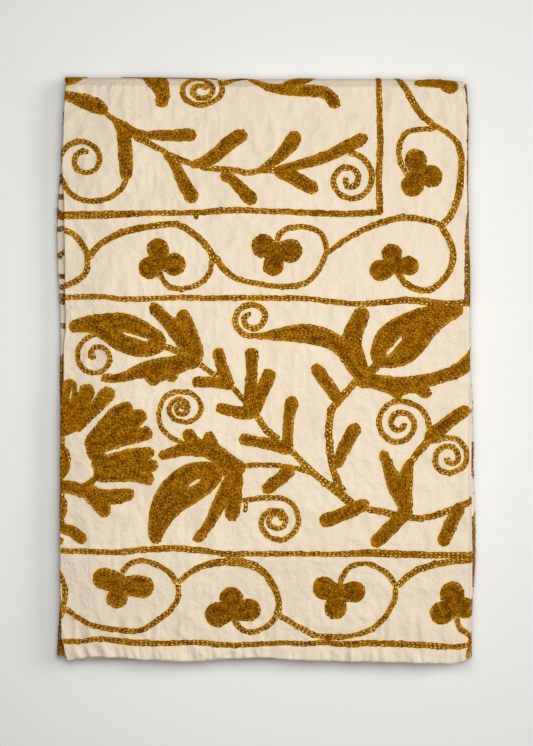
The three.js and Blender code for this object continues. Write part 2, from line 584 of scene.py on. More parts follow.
        across, share = self.shares(x, y)
        sag = self.side_sag * (1 - smooth(x + self.width / 2, 0.0, self.side_hem_inset)) * self.sag_share(z)
        settled = (z - sag) * self.height_across.at(across) * self.height_along.at(share)
        swell = self.swell_height * self.swell.at(x, y) * np.clip(z / self.height, 0.0, self.swell_most) ** 2
        settled = np.maximum(settled + swell, self.lowest)
        if creased:
            on_top = smooth(z, self.height - self.layer_pitch, self.height - self.layer_pitch / 2)
            settled = settled + on_top * self.relief(x, y)
        out_x = x + self.sideways(x, y, z) + self.centring[0]
        out_y = y + self.lengthways(x, y, z) + self.centring[1]
        return np.stack([out_x, out_y, settled], axis=-1) * MM

    def fold_place(self, x: np.ndarray, past: np.ndarray) -> np.ndarray:
        """Where places past the start of the outer fold lie down the pattern sheet.

        Args:
            x: Places to the right on it.
            past: How far past the start they lie on the cloth.

        Returns:
            Places down it.
        """
        bend = self.outer_fold
        straight = bend.along + past * FOLD_RADIUS / bend.radius
        edge = self.lengthways(x - PACKET_MIDDLE[0], straight, np.full(x.shape, self.height))
        return PACKET_MIDDLE[1] - straight - edge

    def from_pattern(self, x: np.ndarray, y: np.ndarray) -> tuple[np.ndarray, np.ndarray]:
        """Where places on the pattern sheet lie on the flat cloth.

        Args:
            x: Places to the right on the pattern sheet.
            y: Places down it.

        Returns:
            The distance across from the left fold and the distance along from the hem.
        """
        across, along = x - PACKET_MIDDLE[0], PACKET_MIDDLE[1] - y
        top = np.full(x.shape, self.height)
        u = x - LEFT_FOLD_X - self.sideways(across, along, top)
        straight = along - self.lengthways(across, along, top)
        bend = self.outer_fold
        past = straight - bend.along
        rounded = bend.start + past * bend.radius / FOLD_RADIUS
        return u, np.where(past > 0, rounded, straight + self.length / 2 - self.end_hem_inset)


def laid_flat(y: np.ndarray) -> np.ndarray:
    """Lays the outer fold flat.

    Args:
        y: Places down the view from above.

    Returns:
        Places down the pattern sheet.
    """
    past = (FOLD_START_Y - y) / FOLD_RADIUS
    turn = np.where(past < 1, np.arcsin(np.clip(past, 0.0, 1.0)), math.pi / 2 + past - 1)
    return np.where(past > 0, FOLD_START_Y - FOLD_RADIUS * turn, y)


@dataclass(frozen=True)
class Stroke:
    """A run of embroidery through marks, each with its place as seen from above and its width."""

    LEAST_WIDTH = 1.0

    marks: tuple[Mark, ...]

    def drawn(self) -> np.ndarray:
        """Draws it.

        Returns:
            Closely spaced points, each with its place and half width.
        """
        marks = np.array(self.marks, dtype=float)
        marks[:, 1] = laid_flat(marks[:, 1])
        drawn = smooth_line(marks, DRAWN_STEP)
        drawn[:, 2] = np.maximum(drawn[:, 2], self.LEAST_WIDTH) / 2
        return drawn


@dataclass(frozen=True)
class Spiral:
    """A curl that winds inwards from a start angle, with its radius at each quarter turn."""

    centre: Place
    start: float
    radii: tuple[float, ...]
    width: float = 4.8
    tall: float = 1.0
    winding: Winding = Winding.CLOCKWISE

    def drawn(self) -> np.ndarray:
        """Draws it.

        Returns:
            Closely spaced points, each with its place and half width.
        """
        count = int(sum(self.radii) * math.pi / 2 / DRAWN_STEP)
        quarter = np.linspace(0.0, len(self.radii) - 1.0, count)
        radius = np.interp(quarter, np.arange(len(self.radii)), self.radii)
        angle = math.radians(self.start) + self.winding.value * quarter * math.pi / 2
        x = self.centre[0] + radius * np.cos(angle)
        y = self.centre[1] + radius * self.tall * np.sin(angle)
        return np.stack([x, laid_flat(y), np.full(count, self.width / 2)], axis=-1)


def line(width: float, *places: Place) -> Stroke:
    """A stroke of one width through places."""
    return Stroke(tuple((x, y, width) for x, y in places))


def band(*marks: Mark) -> Stroke:
    """A stroke through marks."""
    return Stroke(marks)


@dataclass(frozen=True)
class Fill:
    """A shape filled with rows of chain stitch: its strokes less its open slits, and its wool's dye."""

    name: str
    strokes: tuple[Stroke | Spiral, ...]
    slits: tuple[Stroke, ...] = ()
    dye: float = 0.5

    def box(self) -> tuple[np.ndarray, np.ndarray]:
        """The lowest and highest corner that it reaches on the pattern sheet."""
        rows = np.vstack([stroke.drawn() for stroke in self.strokes])
        return (rows[:, :2] - rows[:, 2:]).min(axis=0), (rows[:, :2] + rows[:, 2:]).max(axis=0)

    def depth(self, x: np.ndarray, y: np.ndarray) -> np.ndarray:
        """How deep places lie inside the shape.

        Args:
            x: Places to the right.
            y: Places down.

        Returns:
            The depths, below 0 outside it.
        """
        deepest = np.full(x.shape, -np.inf)
        for stroke in self.strokes:
            for cx, cy, reach in stroke.drawn():
                deepest = np.maximum(deepest, reach - np.hypot(x - cx, y - cy))
        for slit in self.slits:
            for cx, cy, reach in slit.drawn():
                deepest = np.minimum(deepest, np.hypot(x - cx, y - cy) - reach)
        return deepest


def leaf(name: str, *marks: Mark) -> Fill:
    """A filled finger or leaf of one stroke."""
    return Fill(name, (Stroke(marks),))


def leaves(name: str, *strokes: tuple[Mark, ...], slits: tuple[Stroke, ...] = ()) -> Fill:
    """Filled fingers or leaves that grow together."""
    return Fill(name, tuple(Stroke(marks) for marks in strokes), slits)


# A trefoil's lobe: where its neck starts between the centre and the lobe, the neck's width in radii, how much
# wider than two radii the lobe is sewn, and its wool's dye
NECK_START = 0.35
NECK_WIDTH = 1.5
LOBE_EXTRA = 0.8
LOBE_DYE = 0.34


def trefoil(name: str, centre: Place, *lobes: Mark) -> Fill:
    """Three round lobes about a centre.

    Args:
        name: What it is.
        centre: Where the lobes meet.
        lobes: Each lobe's place and radius.

    Returns:
        The filled shape.
    """
    strokes = []
    for x, y, radius in lobes:
        neck = (centre[0] + NECK_START * (x - centre[0]), centre[1] + NECK_START * (y - centre[1]))
        strokes.append(Stroke(((*neck, NECK_WIDTH * radius), (x, y, 2 * radius + LOBE_EXTRA))))
    return Fill(name, tuple(strokes), dye=LOBE_DYE)


@dataclass(frozen=True)
class Pattern:
    """The filled shapes and the lines of one region."""

    region: Region
    fills: tuple[Fill, ...]
    lines: tuple[Stroke | Spiral, ...]


# The design, region by region, as seen from above. A mark of a leaf or a band is x, y and width, a place of a
# line x and y after the line's width, and a lobe of a trefoil x, y and radius
FIELD_FILLS = (
    leaf("corner leaf", (57, 79.5, 14), (66, 79.5, 15), (74, 78.5, 12), (86, 75.5, 5)),
    leaf("broad leaf", (55, 92, 8), (72, 97, 11), (85, 101.5, 15), (96, 106, 15), (103, 110, 10)),
    leaves(
        "two fingers",
        ((113, 119, 5), (122, 127, 12), (134, 133, 9.5), (148, 135, 8.5), (170, 135.5, 11.5),
         (190, 135, 13)),
        ((122, 127, 13), (124, 140, 14), (125.5, 158, 14.2), (126, 174, 13)),
    ),
    leaves(
        "hooked leaf",
        ((122, 74.5, 5), (141, 76.5, 9), (152, 79.5, 16), (159, 86, 17), (162.5, 94, 14),
         (161.5, 101.5, 13)),
        ((159, 75.5, 10), (162, 84, 13)),
    ),
    leaf("first finger down", (167, 155, 8), (175, 166, 10), (183, 182, 13), (191, 196, 14.5)),
    leaf("first finger up", (194, 164.5, 8), (205, 162, 12), (218, 153, 14), (229, 143, 14.5),
         (240, 136, 14)),
    leaf("second finger down", (224, 176, 9), (232, 180, 11), (241, 189, 12.5), (250, 198, 14)),
    leaf("second finger up", (259, 171, 6), (270, 164, 9), (281, 155, 12), (290, 144, 15), (294, 138, 14.5)),
    leaves(
        "long fingers",
        ((279, 170.5, 10), (297, 165.5, 10), (315, 160.5, 11), (332, 154, 12), (348, 146, 12.5),
         (361, 139, 12.5)),
        ((281, 173, 12), (294, 178, 14), (306, 185, 14.5), (311, 187.5, 14)),
    ),
    leaves(
        "long top leaf",
        ((250, 79.5, 5), (265, 86, 7.5), (281, 89.5, 10.5), (296, 91, 10.5), (311, 91, 12), (324, 92.5, 12),
         (331, 98, 12), (334, 103, 12)),
        ((285, 86, 8), (297, 80.5, 12), (306, 78.6, 12), (314, 75.5, 6)),
    ),
)
FIELD_LINES = (
    line(4.8, (102, 110), (113, 119)),
    line(5, (125.6, 180), (121, 189), (110, 197.5), (95, 201), (80, 199), (68.5, 192), (61, 179), (57, 172)),
    line(5, (57, 164), (58.5, 158), (61, 153)),
    Spiral((84, 160), 196, (24, 17, 15, 12, 9.8, 9), 5.0),
    line(5, (160, 70), (170, 76.5), (188, 76.3), (206, 76.2), (216, 78)),
    Spiral((201, 90.8), -35, (22.5, 18.2, 19.3, 17.5, 12, 10.7, 9.2, 7.1, 6.3), 5.0, 0.76),
    line(5.6, (222, 84), (233, 79.8), (246, 77.5)),
    line(5.6, (134.5, 137), (151, 144.7), (176, 157.8), (206, 168), (233, 170), (247, 172.8), (259, 171),
         (279, 170)),
    Spiral((350, 179), -90, (25.6, 21.5, 19.5, 16.8, 11, 8.1, 8, 4.8), 5.4),
    line(3.6, (195.6, 212.5), (196.2, 217.3)),
    band((56, 215, 7.5), (110, 214.7, 7), (151, 213.3, 5.2), (192, 212.7, 5.2), (233, 210.3, 6),
         (268, 211.2, 5.2), (311, 213, 5.7), (348, 213.8, 5.7), (380, 212.3, 5.7)),
    band((378, 62, 5), (378.5, 77, 5), (379.3, 116, 5.2), (380.2, 146, 6), (378.5, 177, 5.7),
         (379.7, 212, 6)),
)

INNER_BORDER_FILLS = (
    trefoil("first trefoil", (160, 261.7), (157.8, 249.4, 10.7), (149.6, 267.9, 11), (174.3, 264.4, 11)),
    trefoil("second trefoil", (275, 252), (263, 246, 11.5), (290, 250.6, 11.5), (273, 266, 10)),
    trefoil("third trefoil", (394.6, 265.9), (391.5, 253.6, 9.5), (408.4, 266, 9.5), (380, 270.5, 10.5)),
    trefoil("fourth trefoil", (416.8, 174), (415.3, 160.3, 10.7), (431.3, 176.3, 10.7), (412.2, 185.5, 11)),
    leaves(
        "trefoil on the fold",
        ((418.5, 82.5, 8), (429, 81.7, 12), (440, 82, 13)),
        ((440, 82, 13), (449, 84.7, 16.5), (450.5, 85.5, 16)),
        ((436, 80, 12), (436, 72, 16), (436, 62, 16)),
    ),
)
INNER_BORDER_LINES = (
    line(5.5, (57, 227), (63, 229.5), (73, 234.3), (81, 242.5), (86, 252), (87.2, 260), (86.5, 268.6),
         (83, 276), (75.6, 281), (64.6, 285.7), (57, 288)),
    line(6, (88.6, 257.6), (96, 248), (107, 239.8), (121, 233), (137, 228.8), (169, 224), (181, 226),
         (192, 233), (203, 242.5), (211, 253.5), (212.5, 259)),
    line(5, (211.3, 261.7), (210, 271.3), (203, 281), (192, 287), (181, 289), (170, 287), (163.3, 281),
         (160, 274)),
    band((214.7, 257.6, 7), (222, 267, 6.5), (233, 277, 5.2), (247, 281.6, 5.2), (268, 285.5, 5),
         (288, 286.5, 5), (307, 282, 5), (319, 269, 5), (326, 253.6, 5)),
    line(5, (327, 252), (323.5, 238), (316, 230), (302, 227), (288, 228.4), (279, 235.3), (276.8, 243)),
    band((328, 252, 4.6), (345, 240, 5), (365, 229, 5.6), (385, 221.5, 6), (403, 217.7, 6),
         (421, 219.2, 5.6), (435, 223, 5), (442, 226, 5)),
    line(6, (441.3, 227.6), (449, 240), (452.8, 253.6), (450.5, 267.4), (443, 279.6), (432, 288.8),
         (420, 290.4), (406, 284.2), (398.4, 275), (395.5, 269)),
    band((442.8, 224.6, 6.5), (450.5, 215.4, 6.5), (456, 203, 6.5), (459.6, 185, 6.5), (461.2, 162, 6),
         (458, 145, 5.6), (449, 134.3, 5), (433.6, 125, 5)),
    line(5, (433.6, 128.2), (418, 129.7), (406, 132.7), (400, 142), (398.4, 152.6), (400.7, 163.3),
         (405.3, 172.5), (410, 177)),
    band((432, 123.6, 6.5), (421, 114.4, 6.5), (412, 100.6, 6.5), (404.6, 87, 5.6), (399.5, 80, 5),
         (397, 75, 5), (394, 64, 5)),
    band((56, 297.6, 4.6), (96, 296.7, 5), (123, 299, 5), (151, 298.7, 5), (178, 297.6, 5), (213, 298, 5),
         (250, 298, 5), (303, 298.5, 5), (326, 301, 5), (357, 304, 5), (380, 302.6, 5.6), (403, 300.3, 6.5),
         (418, 301, 6.5), (441, 303.4, 6), (464, 303.4, 6), (472, 303.4, 6)),
)

PANEL_LEFT_FILLS = (
    Fill(
        "first bud",
        (band((74, 326.5, 12), (81.5, 325, 15), (91, 324, 18), (101, 325.5, 23), (112, 328, 31),
              (124, 332.5, 38), (137, 338, 37), (147, 341, 31), (153, 342, 26)),),
        (line(2.7, (123.4, 332.7), (147.9, 340.8)),),
    ),
    leaves(
        "first lobed leaf",
        ((105, 378, 8.5), (113, 378.5, 9), (124, 377, 10), (136, 372.5, 13), (148, 369.5, 18),
         (160, 368.5, 21), (172, 366, 20), (184, 363, 16), (193, 362, 13)),
        ((150, 375, 14), (153, 380, 12)),
        ((158, 373, 16), (159, 376, 13)),
        ((168, 373, 14), (172, 376.5, 12)),
    ),
    leaves(
        "forked leaf",
        ((154.5, 308.5, 12), (164, 318, 13), (173, 327, 16), (182, 337, 19), (190, 347, 17), (196, 356, 12)),
        ((183, 315.5, 13), (186.5, 326, 16), (190, 338, 17), (195, 348, 15), (197.5, 356, 12)),
        ((177, 321, 9), (182, 332, 14)),
    ),
    Fill(
        "upper palmette",
        (
            band((69, 386.5, 15), (68, 400, 17), (65, 414, 18), (62, 428, 18)),
            band((77, 402, 8), (74, 420, 14)),
            band((86.5, 391.5, 16), (83, 404, 17), (77, 417, 18), (71, 426, 14)),
            band((107, 394.5, 15.5), (96, 406, 15), (86, 416, 14), (78, 426, 12)),
            band((55, 396, 18), (56, 424, 20)),
        ),
        (line(1.6, (99, 390), (91, 402)), line(1.8, (71, 390), (69.3, 399))),
    ),
    Fill(
        "side palmette",
        (
            band((125.5, 409, 15), (116.5, 416.5, 20), (109, 425, 20), (99.5, 434.5, 18), (92.5, 442, 16)),
            band((139, 416.5, 15), (126, 424, 22), (112, 434, 26), (97, 445, 22)),
            band((145, 434, 15.5), (130, 438, 20), (114, 444, 20), (98, 451, 24)),
            band((149, 453, 11), (136, 455, 15), (118, 460, 17), (100, 463, 18)),
            band((151, 465.7, 14), (136, 465.5, 20), (118, 467, 20), (101, 469, 17)),
            band((147.5, 478.5, 13), (134, 475.5, 13), (118, 475.5, 13), (100, 475, 14)),
        ),
        (line(3.4, (106, 453.4), (126, 447.5), (149, 441.5)),),
    ),
    leaf("fold bulge", (57, 446, 8), (62, 453, 13), (63, 461, 14), (62, 470, 13), (57, 478, 8)),
    leaves(
        "lower leaves",
        ((57, 486.5, 12), (66, 487, 13.5), (77, 489.5, 13), (88, 493, 15), (97, 500, 17), (103, 508, 15),
         (104, 511, 13)),
        ((92, 493, 14), (104, 497, 15), (117, 496.5, 15.5), (128, 494.5, 12.5)),
        ((80, 489, 9), (87, 485.5, 8), (94, 479, 6)),
    ),
    leaf("lower fold bulge", (56, 496, 6), (60.5, 502, 11), (61, 508, 11.5), (60, 515, 10), (56, 520, 6)),
    leaf("lower left leaf", (55, 525.5, 10), (61, 527.5, 11), (73, 532.5, 11.5), (80.5, 538.5, 12)),
    leaf("small mark", (58, 538, 4), (61, 541, 5), (58, 545, 4)),
    leaves(
        "second lobed leaf",
        ((163, 455, 10), (172, 452.5, 11), (183, 449, 14), (194, 447, 18), (206, 449, 18), (218, 455, 18),
         (229, 463, 17), (238, 468, 15)),
        ((188.5, 435, 13), (195, 445, 13)),
        ((209, 437.5, 12), (212, 447, 13)),
    ),
    Fill(
        "second bud",
        (
            band((155.5, 537, 13), (158, 524, 20), (163, 511, 27), (171, 499, 33), (182, 489, 38),
                 (193, 482, 38), (204, 477, 31), (211, 474, 24)),
            band((215, 473, 9), (231, 470, 9)),
        ),
        (line(2.5, (188.7, 486.4), (200, 479.5)),),
    ),
    leaves(
        "curved leaves",
        ((235, 473, 15), (229, 485, 16), (222, 498, 15), (216, 510, 13), (211, 520, 11), (205, 529, 10),
         (198, 538, 10)),
        ((236, 480, 14), (234, 495, 15), (232.5, 508, 15), (232, 514, 14)),
    ),
)
PANEL_LEFT_LINES = (
    line(3.6, (62, 436), (61.8, 480), (62, 523)),
    line(5.6, (91, 351), (90.6, 354), (92.5, 358)),
    Spiral((96, 357), -85, (22.3, 19, 16, 13.8, 10.2, 6), 4.6, winding=Winding.ANTICLOCKWISE),
    line(6, (164, 346.4), (177.4, 351), (188, 353)),
    line(3.6, (246.2, 503), (244.8, 511)),
    line(5, (198, 363.3), (208, 370.4), (215, 375)),
    Spiral((181, 408), 91, (33.5, 21, 15.8, 20.5, 13.5, 12, 8.3, 7, 6.6, 5, 3, 2.4), 4.6),
)

PANEL_RIGHT_FILLS = (
    leaf("stem finger", (289, 470, 12), (282, 477, 13), (274, 483, 13), (268, 488, 13)),
    leaves(
        "swooping leaf",
        ((257, 336, 6), (268, 335.5, 9), (281, 334.5, 13), (294, 333.5, 17.5), (307, 333.8, 20),
         (320, 336.5, 19.5), (332, 341, 18), (342, 347, 19), (350, 356, 20), (357, 367, 20), (363, 377, 16)),
        ((361, 315, 16), (356.5, 325, 18), (352, 336, 20), (351, 347, 22), (354, 358, 22), (358, 368, 19),
         (363, 377, 15)),
        ((366, 376, 9), (372, 370, 9), (376, 366, 9)),
    ),
    leaves(
        "first sprig",
        ((218.5, 354, 12.5), (221, 364, 11), (224, 374, 13), (227, 383, 13)),
        ((197, 382, 11), (208, 382, 10.5), (218, 383, 11), (227, 384, 12)),
    ),
    leaves(
        "second sprig",
        ((251.7, 354.5, 14), (251.5, 366, 11.5), (251, 380, 11.5), (250.5, 395, 14), (251, 408, 16)),
        ((268.5, 376, 14.5), (264, 386, 14), (259, 398, 13.5), (255, 409, 13)),
        ((221.5, 408.5, 12), (232.7, 411, 11), (244, 413.3, 13), (252, 412, 13)),
    ),
    leaves(
        "third sprig",
        ((291.5, 403.5, 14.5), (289.5, 412, 12), (288, 424, 10.5), (287.5, 438, 11), (287, 446, 12)),
        ((244.5, 439.5, 12), (256, 441.5, 11), (268, 443.5, 12), (280, 446.5, 13), (287, 449, 12)),
    ),
    leaf("upper stem finger", (317, 369.5, 12.5), (324, 379.5, 13), (331, 389.5, 13), (337, 399, 11)),
    leaf("right stem finger", (353.5, 430, 14), (348, 440, 13), (342, 452, 12.5), (337, 463, 11)),
    leaf("foot finger", (326, 520.5, 14.5), (338, 516, 13.5), (350, 510.5, 14), (361, 505.5, 13),
         (365, 503.5, 9)),
    leaves(
        "forked tall leaf",
        ((383.5, 455, 10), (387.5, 465, 11.5), (392, 477, 15), (397, 489, 17), (402, 500, 15),
         (406, 511, 12)),
        ((410, 462, 8.5), (407, 470, 12), (405, 480, 15), (404, 492, 16), (406, 504, 13)),
        ((404, 513, 14), (394, 524, 14.5), (384, 534, 14), (376.5, 541, 13)),
    ),
    leaf("right foot finger", (458, 509, 13), (453, 519, 13.5), (448, 530, 13.5), (443.5, 540, 13)),
    leaf("curl finger", (430, 437, 13), (437, 431, 14), (447, 423, 13), (457, 415.5, 13), (464, 411, 12)),
    Fill(
        "third bud",
        (band((384, 354, 28), (390, 349, 38), (398, 343, 46), (407, 336, 44), (417, 328, 37), (428, 321, 30),
              (439, 315.5, 23), (449, 312, 18), (456, 310.5, 14)),),
        (line(3.5, (387.4, 353.6), (400.8, 338.3)),),
    ),
    leaves(
        "third lobed leaf",
        ((362, 382, 12), (373, 381.5, 14), (385, 384, 17), (397, 386, 18), (409, 385, 17), (421, 382, 15),
         (433, 379, 13), (445, 375.5, 13), (456, 371, 14), (466, 364, 15), (474, 355, 14)),
        ((394, 390, 13), (397.5, 396, 9)),
        ((418, 387, 14), (425, 393, 12)),
    ),
)
PANEL_RIGHT_LINES = (
    line(4.8, (240.8, 466), (256, 465), (271.4, 465), (286.7, 467), (302, 469.6), (312, 473)),
    line(4.8, (240.8, 500.7), (249, 499.7), (261, 498), (273.5, 497.5)),
    Spiral((277.5, 520), -100, (22.7, 20.6, 20, 17, 9.6, 8, 8.4, 9.5, 6.5, 4), 4.8),
    Spiral((250.5, 318.5), 70, (17.9, 16, 13.2, 15.5, 10.3, 7.2, 4.8), 5.4),
    line(5.5, (231.6, 386.7), (239, 395), (246, 402)),
    line(6.5, (257, 417), (263, 425.5), (266, 430), (276.5, 438.5)),
    band((292, 451, 5.5), (302, 462, 5.6), (317, 476, 6.5), (338, 492.6, 8), (351, 503, 8)),
    band((356, 380.6, 6.5), (348, 390, 6.5), (336, 404, 7), (330.6, 412, 7), (328.6, 435, 7),
         (331.6, 463, 7), (337, 482, 6.5), (342, 490, 6.5)),
    line(6, (367.3, 509.3), (377.8, 510.7), (389.3, 513.6), (397, 514.5)),
    line(7, (412.3, 460), (419, 450.4), (426.7, 442), (427.6, 436)),
    line(6, (408.5, 517.4), (419, 518.3), (430.5, 516.4), (445, 511.7), (457.3, 507), (470.7, 501),
         (476, 498)),
    Spiral((400, 422.5), 26, (30.7, 21.5, 21.2, 20.7, 15, 10.3, 9.8, 8.6, 4.4), 5.2,
           winding=Winding.ANTICLOCKWISE),
    line(5, (431.4, 441.8), (439, 439.4)),
    Spiral((450, 457), -122, (20.8, 17.2, 15.4, 16.7, 11.8, 8.2, 8, 4), 5.0),
)

OUTER_BORDER_FILLS = (
    leaves(
        "first trefoil",
        ((103.5, 578.5, 22), (113, 581, 21), (121, 586, 15)),
        ((142.5, 587, 22.5), (132, 585.5, 21), (121, 587, 15)),
        ((121, 588, 14), (116.7, 598, 21)),
    ),
    trefoil("second trefoil", (231, 613), (231, 598.5, 11.5), (217, 614.5, 12), (249, 610, 11)),
    trefoil("third trefoil", (337.5, 594), (324, 588, 11.3), (354, 591.6, 10.5), (335.4, 608, 10.7)),
    trefoil("fourth trefoil", (454.5, 608), (451.6, 593.8, 11.8), (441.5, 613, 11.3), (464.5, 608, 10)),
)
OUTER_BORDER_LINES = (
    band((54, 551.2, 5), (86, 551.2, 5), (116, 552.2, 5), (137, 550.2, 5.6), (157, 548.7, 6),
         (178, 548.2, 6), (198, 550.2, 6), (214, 552, 5), (228, 554, 5), (265, 553.5, 5), (334, 554, 5),
         (370, 553, 7), (398, 554, 7), (434, 555, 6), (469, 555.3, 6), (477, 555.3, 6)),
    line(5, (54, 566), (59.6, 575), (63.7, 586), (64.4, 597), (63, 606.7), (60.3, 616.3), (55, 623)),
    line(5, (64.4, 608.8), (77.4, 617.7), (91, 625.2), (105, 628), (118.6, 630), (136.4, 631), (148.7, 626),
         (159.7, 618.4), (170.7, 609.4), (177.5, 598.5), (178.2, 586)),
    line(5, (176, 582), (170.7, 573.8), (161, 567), (146, 560.8), (135, 561.5), (125.4, 567), (121.3, 575)),
    band((179.6, 581.3, 5), (190, 572.4, 5.6), (203.6, 565.6, 6), (221.4, 562, 7), (239.2, 562, 8.6),
         (253, 565.6, 7.5), (263.6, 572.3, 6.5), (270.8, 582.3, 6.5), (276.5, 594, 6), (278.7, 605.3, 6),
         (277.2, 613, 6)),
    line(5, (276.5, 615.3), (268, 625.4), (255.7, 631.4), (247.5, 632), (239, 627.3), (235, 621.8),
         (233, 616)),
    line(5, (278.7, 614.6), (292, 623), (304, 629.7), (315, 635.4), (335, 637), (352.6, 635.4), (370, 629.7),
         (382.7, 619.6), (391, 606.7), (395, 596.7), (395.6, 589.5)),
    line(5, (395, 586), (390, 576.6), (381, 569.4), (370, 564.4), (359.7, 563.7), (349.7, 567), (342.5, 575),
         (340.4, 581), (339.5, 588)),
    line(6, (398.5, 585), (407, 576.6), (420, 568.7), (441.5, 563), (456, 560.8), (469, 560), (477, 560)),
    line(5, (456, 616.7), (459, 627), (469, 635.4), (476, 639)),
    line(3.8, (469.5, 640), (469, 648), (467.5, 657)),
    band((56, 642, 4.4), (81.5, 641.7, 4.4), (94, 639, 5), (107.6, 639.6, 5), (125, 641.7, 6), (146, 643, 6),
         (173, 643, 5), (198, 642.4, 5), (228, 645, 5), (265, 643.7, 4.6), (284, 642.6, 4.6),
         (305, 644, 4.6), (320, 642.6, 5), (348, 644, 6), (370, 643.3, 6), (398.5, 644, 6),
         (427, 645.4, 5.6), (456, 647, 5), (476, 643, 5)),
)

PATTERNS = (
    Pattern(Region.FIELD, FIELD_FILLS, FIELD_LINES),
    Pattern(Region.INNER_BORDER, INNER_BORDER_FILLS, INNER_BORDER_LINES),
    Pattern(Region.PANEL_LEFT, PANEL_LEFT_FILLS, PANEL_LEFT_LINES),
    Pattern(Region.PANEL_RIGHT, PANEL_RIGHT_FILLS, PANEL_RIGHT_LINES),
    Pattern(Region.OUTER_BORDER, OUTER_BORDER_FILLS, OUTER_BORDER_LINES),
)


class Contours:
    """Finds the closed lines at one level of a grid of heights."""

    CORNERS = ((0, 0), (0, 1), (1, 1), (1, 0))
    SIDES = ((0, 1), (1, 2), (2, 3), (3, 0))

    def __init__(self, heights: np.ndarray, level: float) -> None:
        """Joins the crossings of every grid square.

        Args:
            heights: The grid, one row for each step down.
            level: The level to follow.
        """
        self.heights = heights - level
        self.joins: dict[tuple[int, int, int, int], list[tuple[int, int, int, int]]] = {}
        inside = self.heights > 0
        corner = inside[:-1, :-1]
        mixed = (corner ^ inside[:-1, 1:]) | (corner ^ inside[1:, :-1]) | (corner ^ inside[1:, 1:])
        for row, column in zip(*np.nonzero(mixed)):
            self.join_square(int(row), int(column), inside)

    def join_square(self, row: int, column: int, inside: np.ndarray) -> None:
        """Joins the sides of one square that the line crosses, in pairs.

        Args:
            row: The square's row.
            column: Its column.
            inside: Which corners of the grid lie above the level.
        """
        corners = [(row + down, column + right) for down, right in self.CORNERS]
        crossed = []
        for first, second in self.SIDES:
            if inside[corners[first]] != inside[corners[second]]:
                low, high = sorted((corners[first], corners[second]))
                crossed.append((*low, *high))
        for one, other in zip(crossed[::2], crossed[1::2]):
            self.joins.setdefault(one, []).append(other)
            self.joins.setdefault(other, []).append(one)

    def point(self, side: tuple[int, int, int, int]) -> Place:
        """Where the line crosses one side.

        Args:
            side: The row and column of its two ends.

        Returns:
            The column and row.
        """
        first, second = self.heights[side[:2]], self.heights[side[2:]]
        share = first / (first - second)
        return side[1] + share * (side[3] - side[1]), side[0] + share * (side[2] - side[0])

    def loops(self) -> list[np.ndarray]:
        """Follows the joined sides.

        Returns:
            The closed lines, each one row a point, the first repeated at the end.
        """
        found = []
        left = dict.fromkeys(self.joins)
        while left:
            start = next(iter(left))
            walk = [start]
            del left[start]
            while True:
                following = next((side for side in self.joins[walk[-1]] if side in left), None)
                if following is None:
                    break
                del left[following]
                walk.append(following)
            found.append(np.array([self.point(side) for side in (*walk, start)]))
        return found


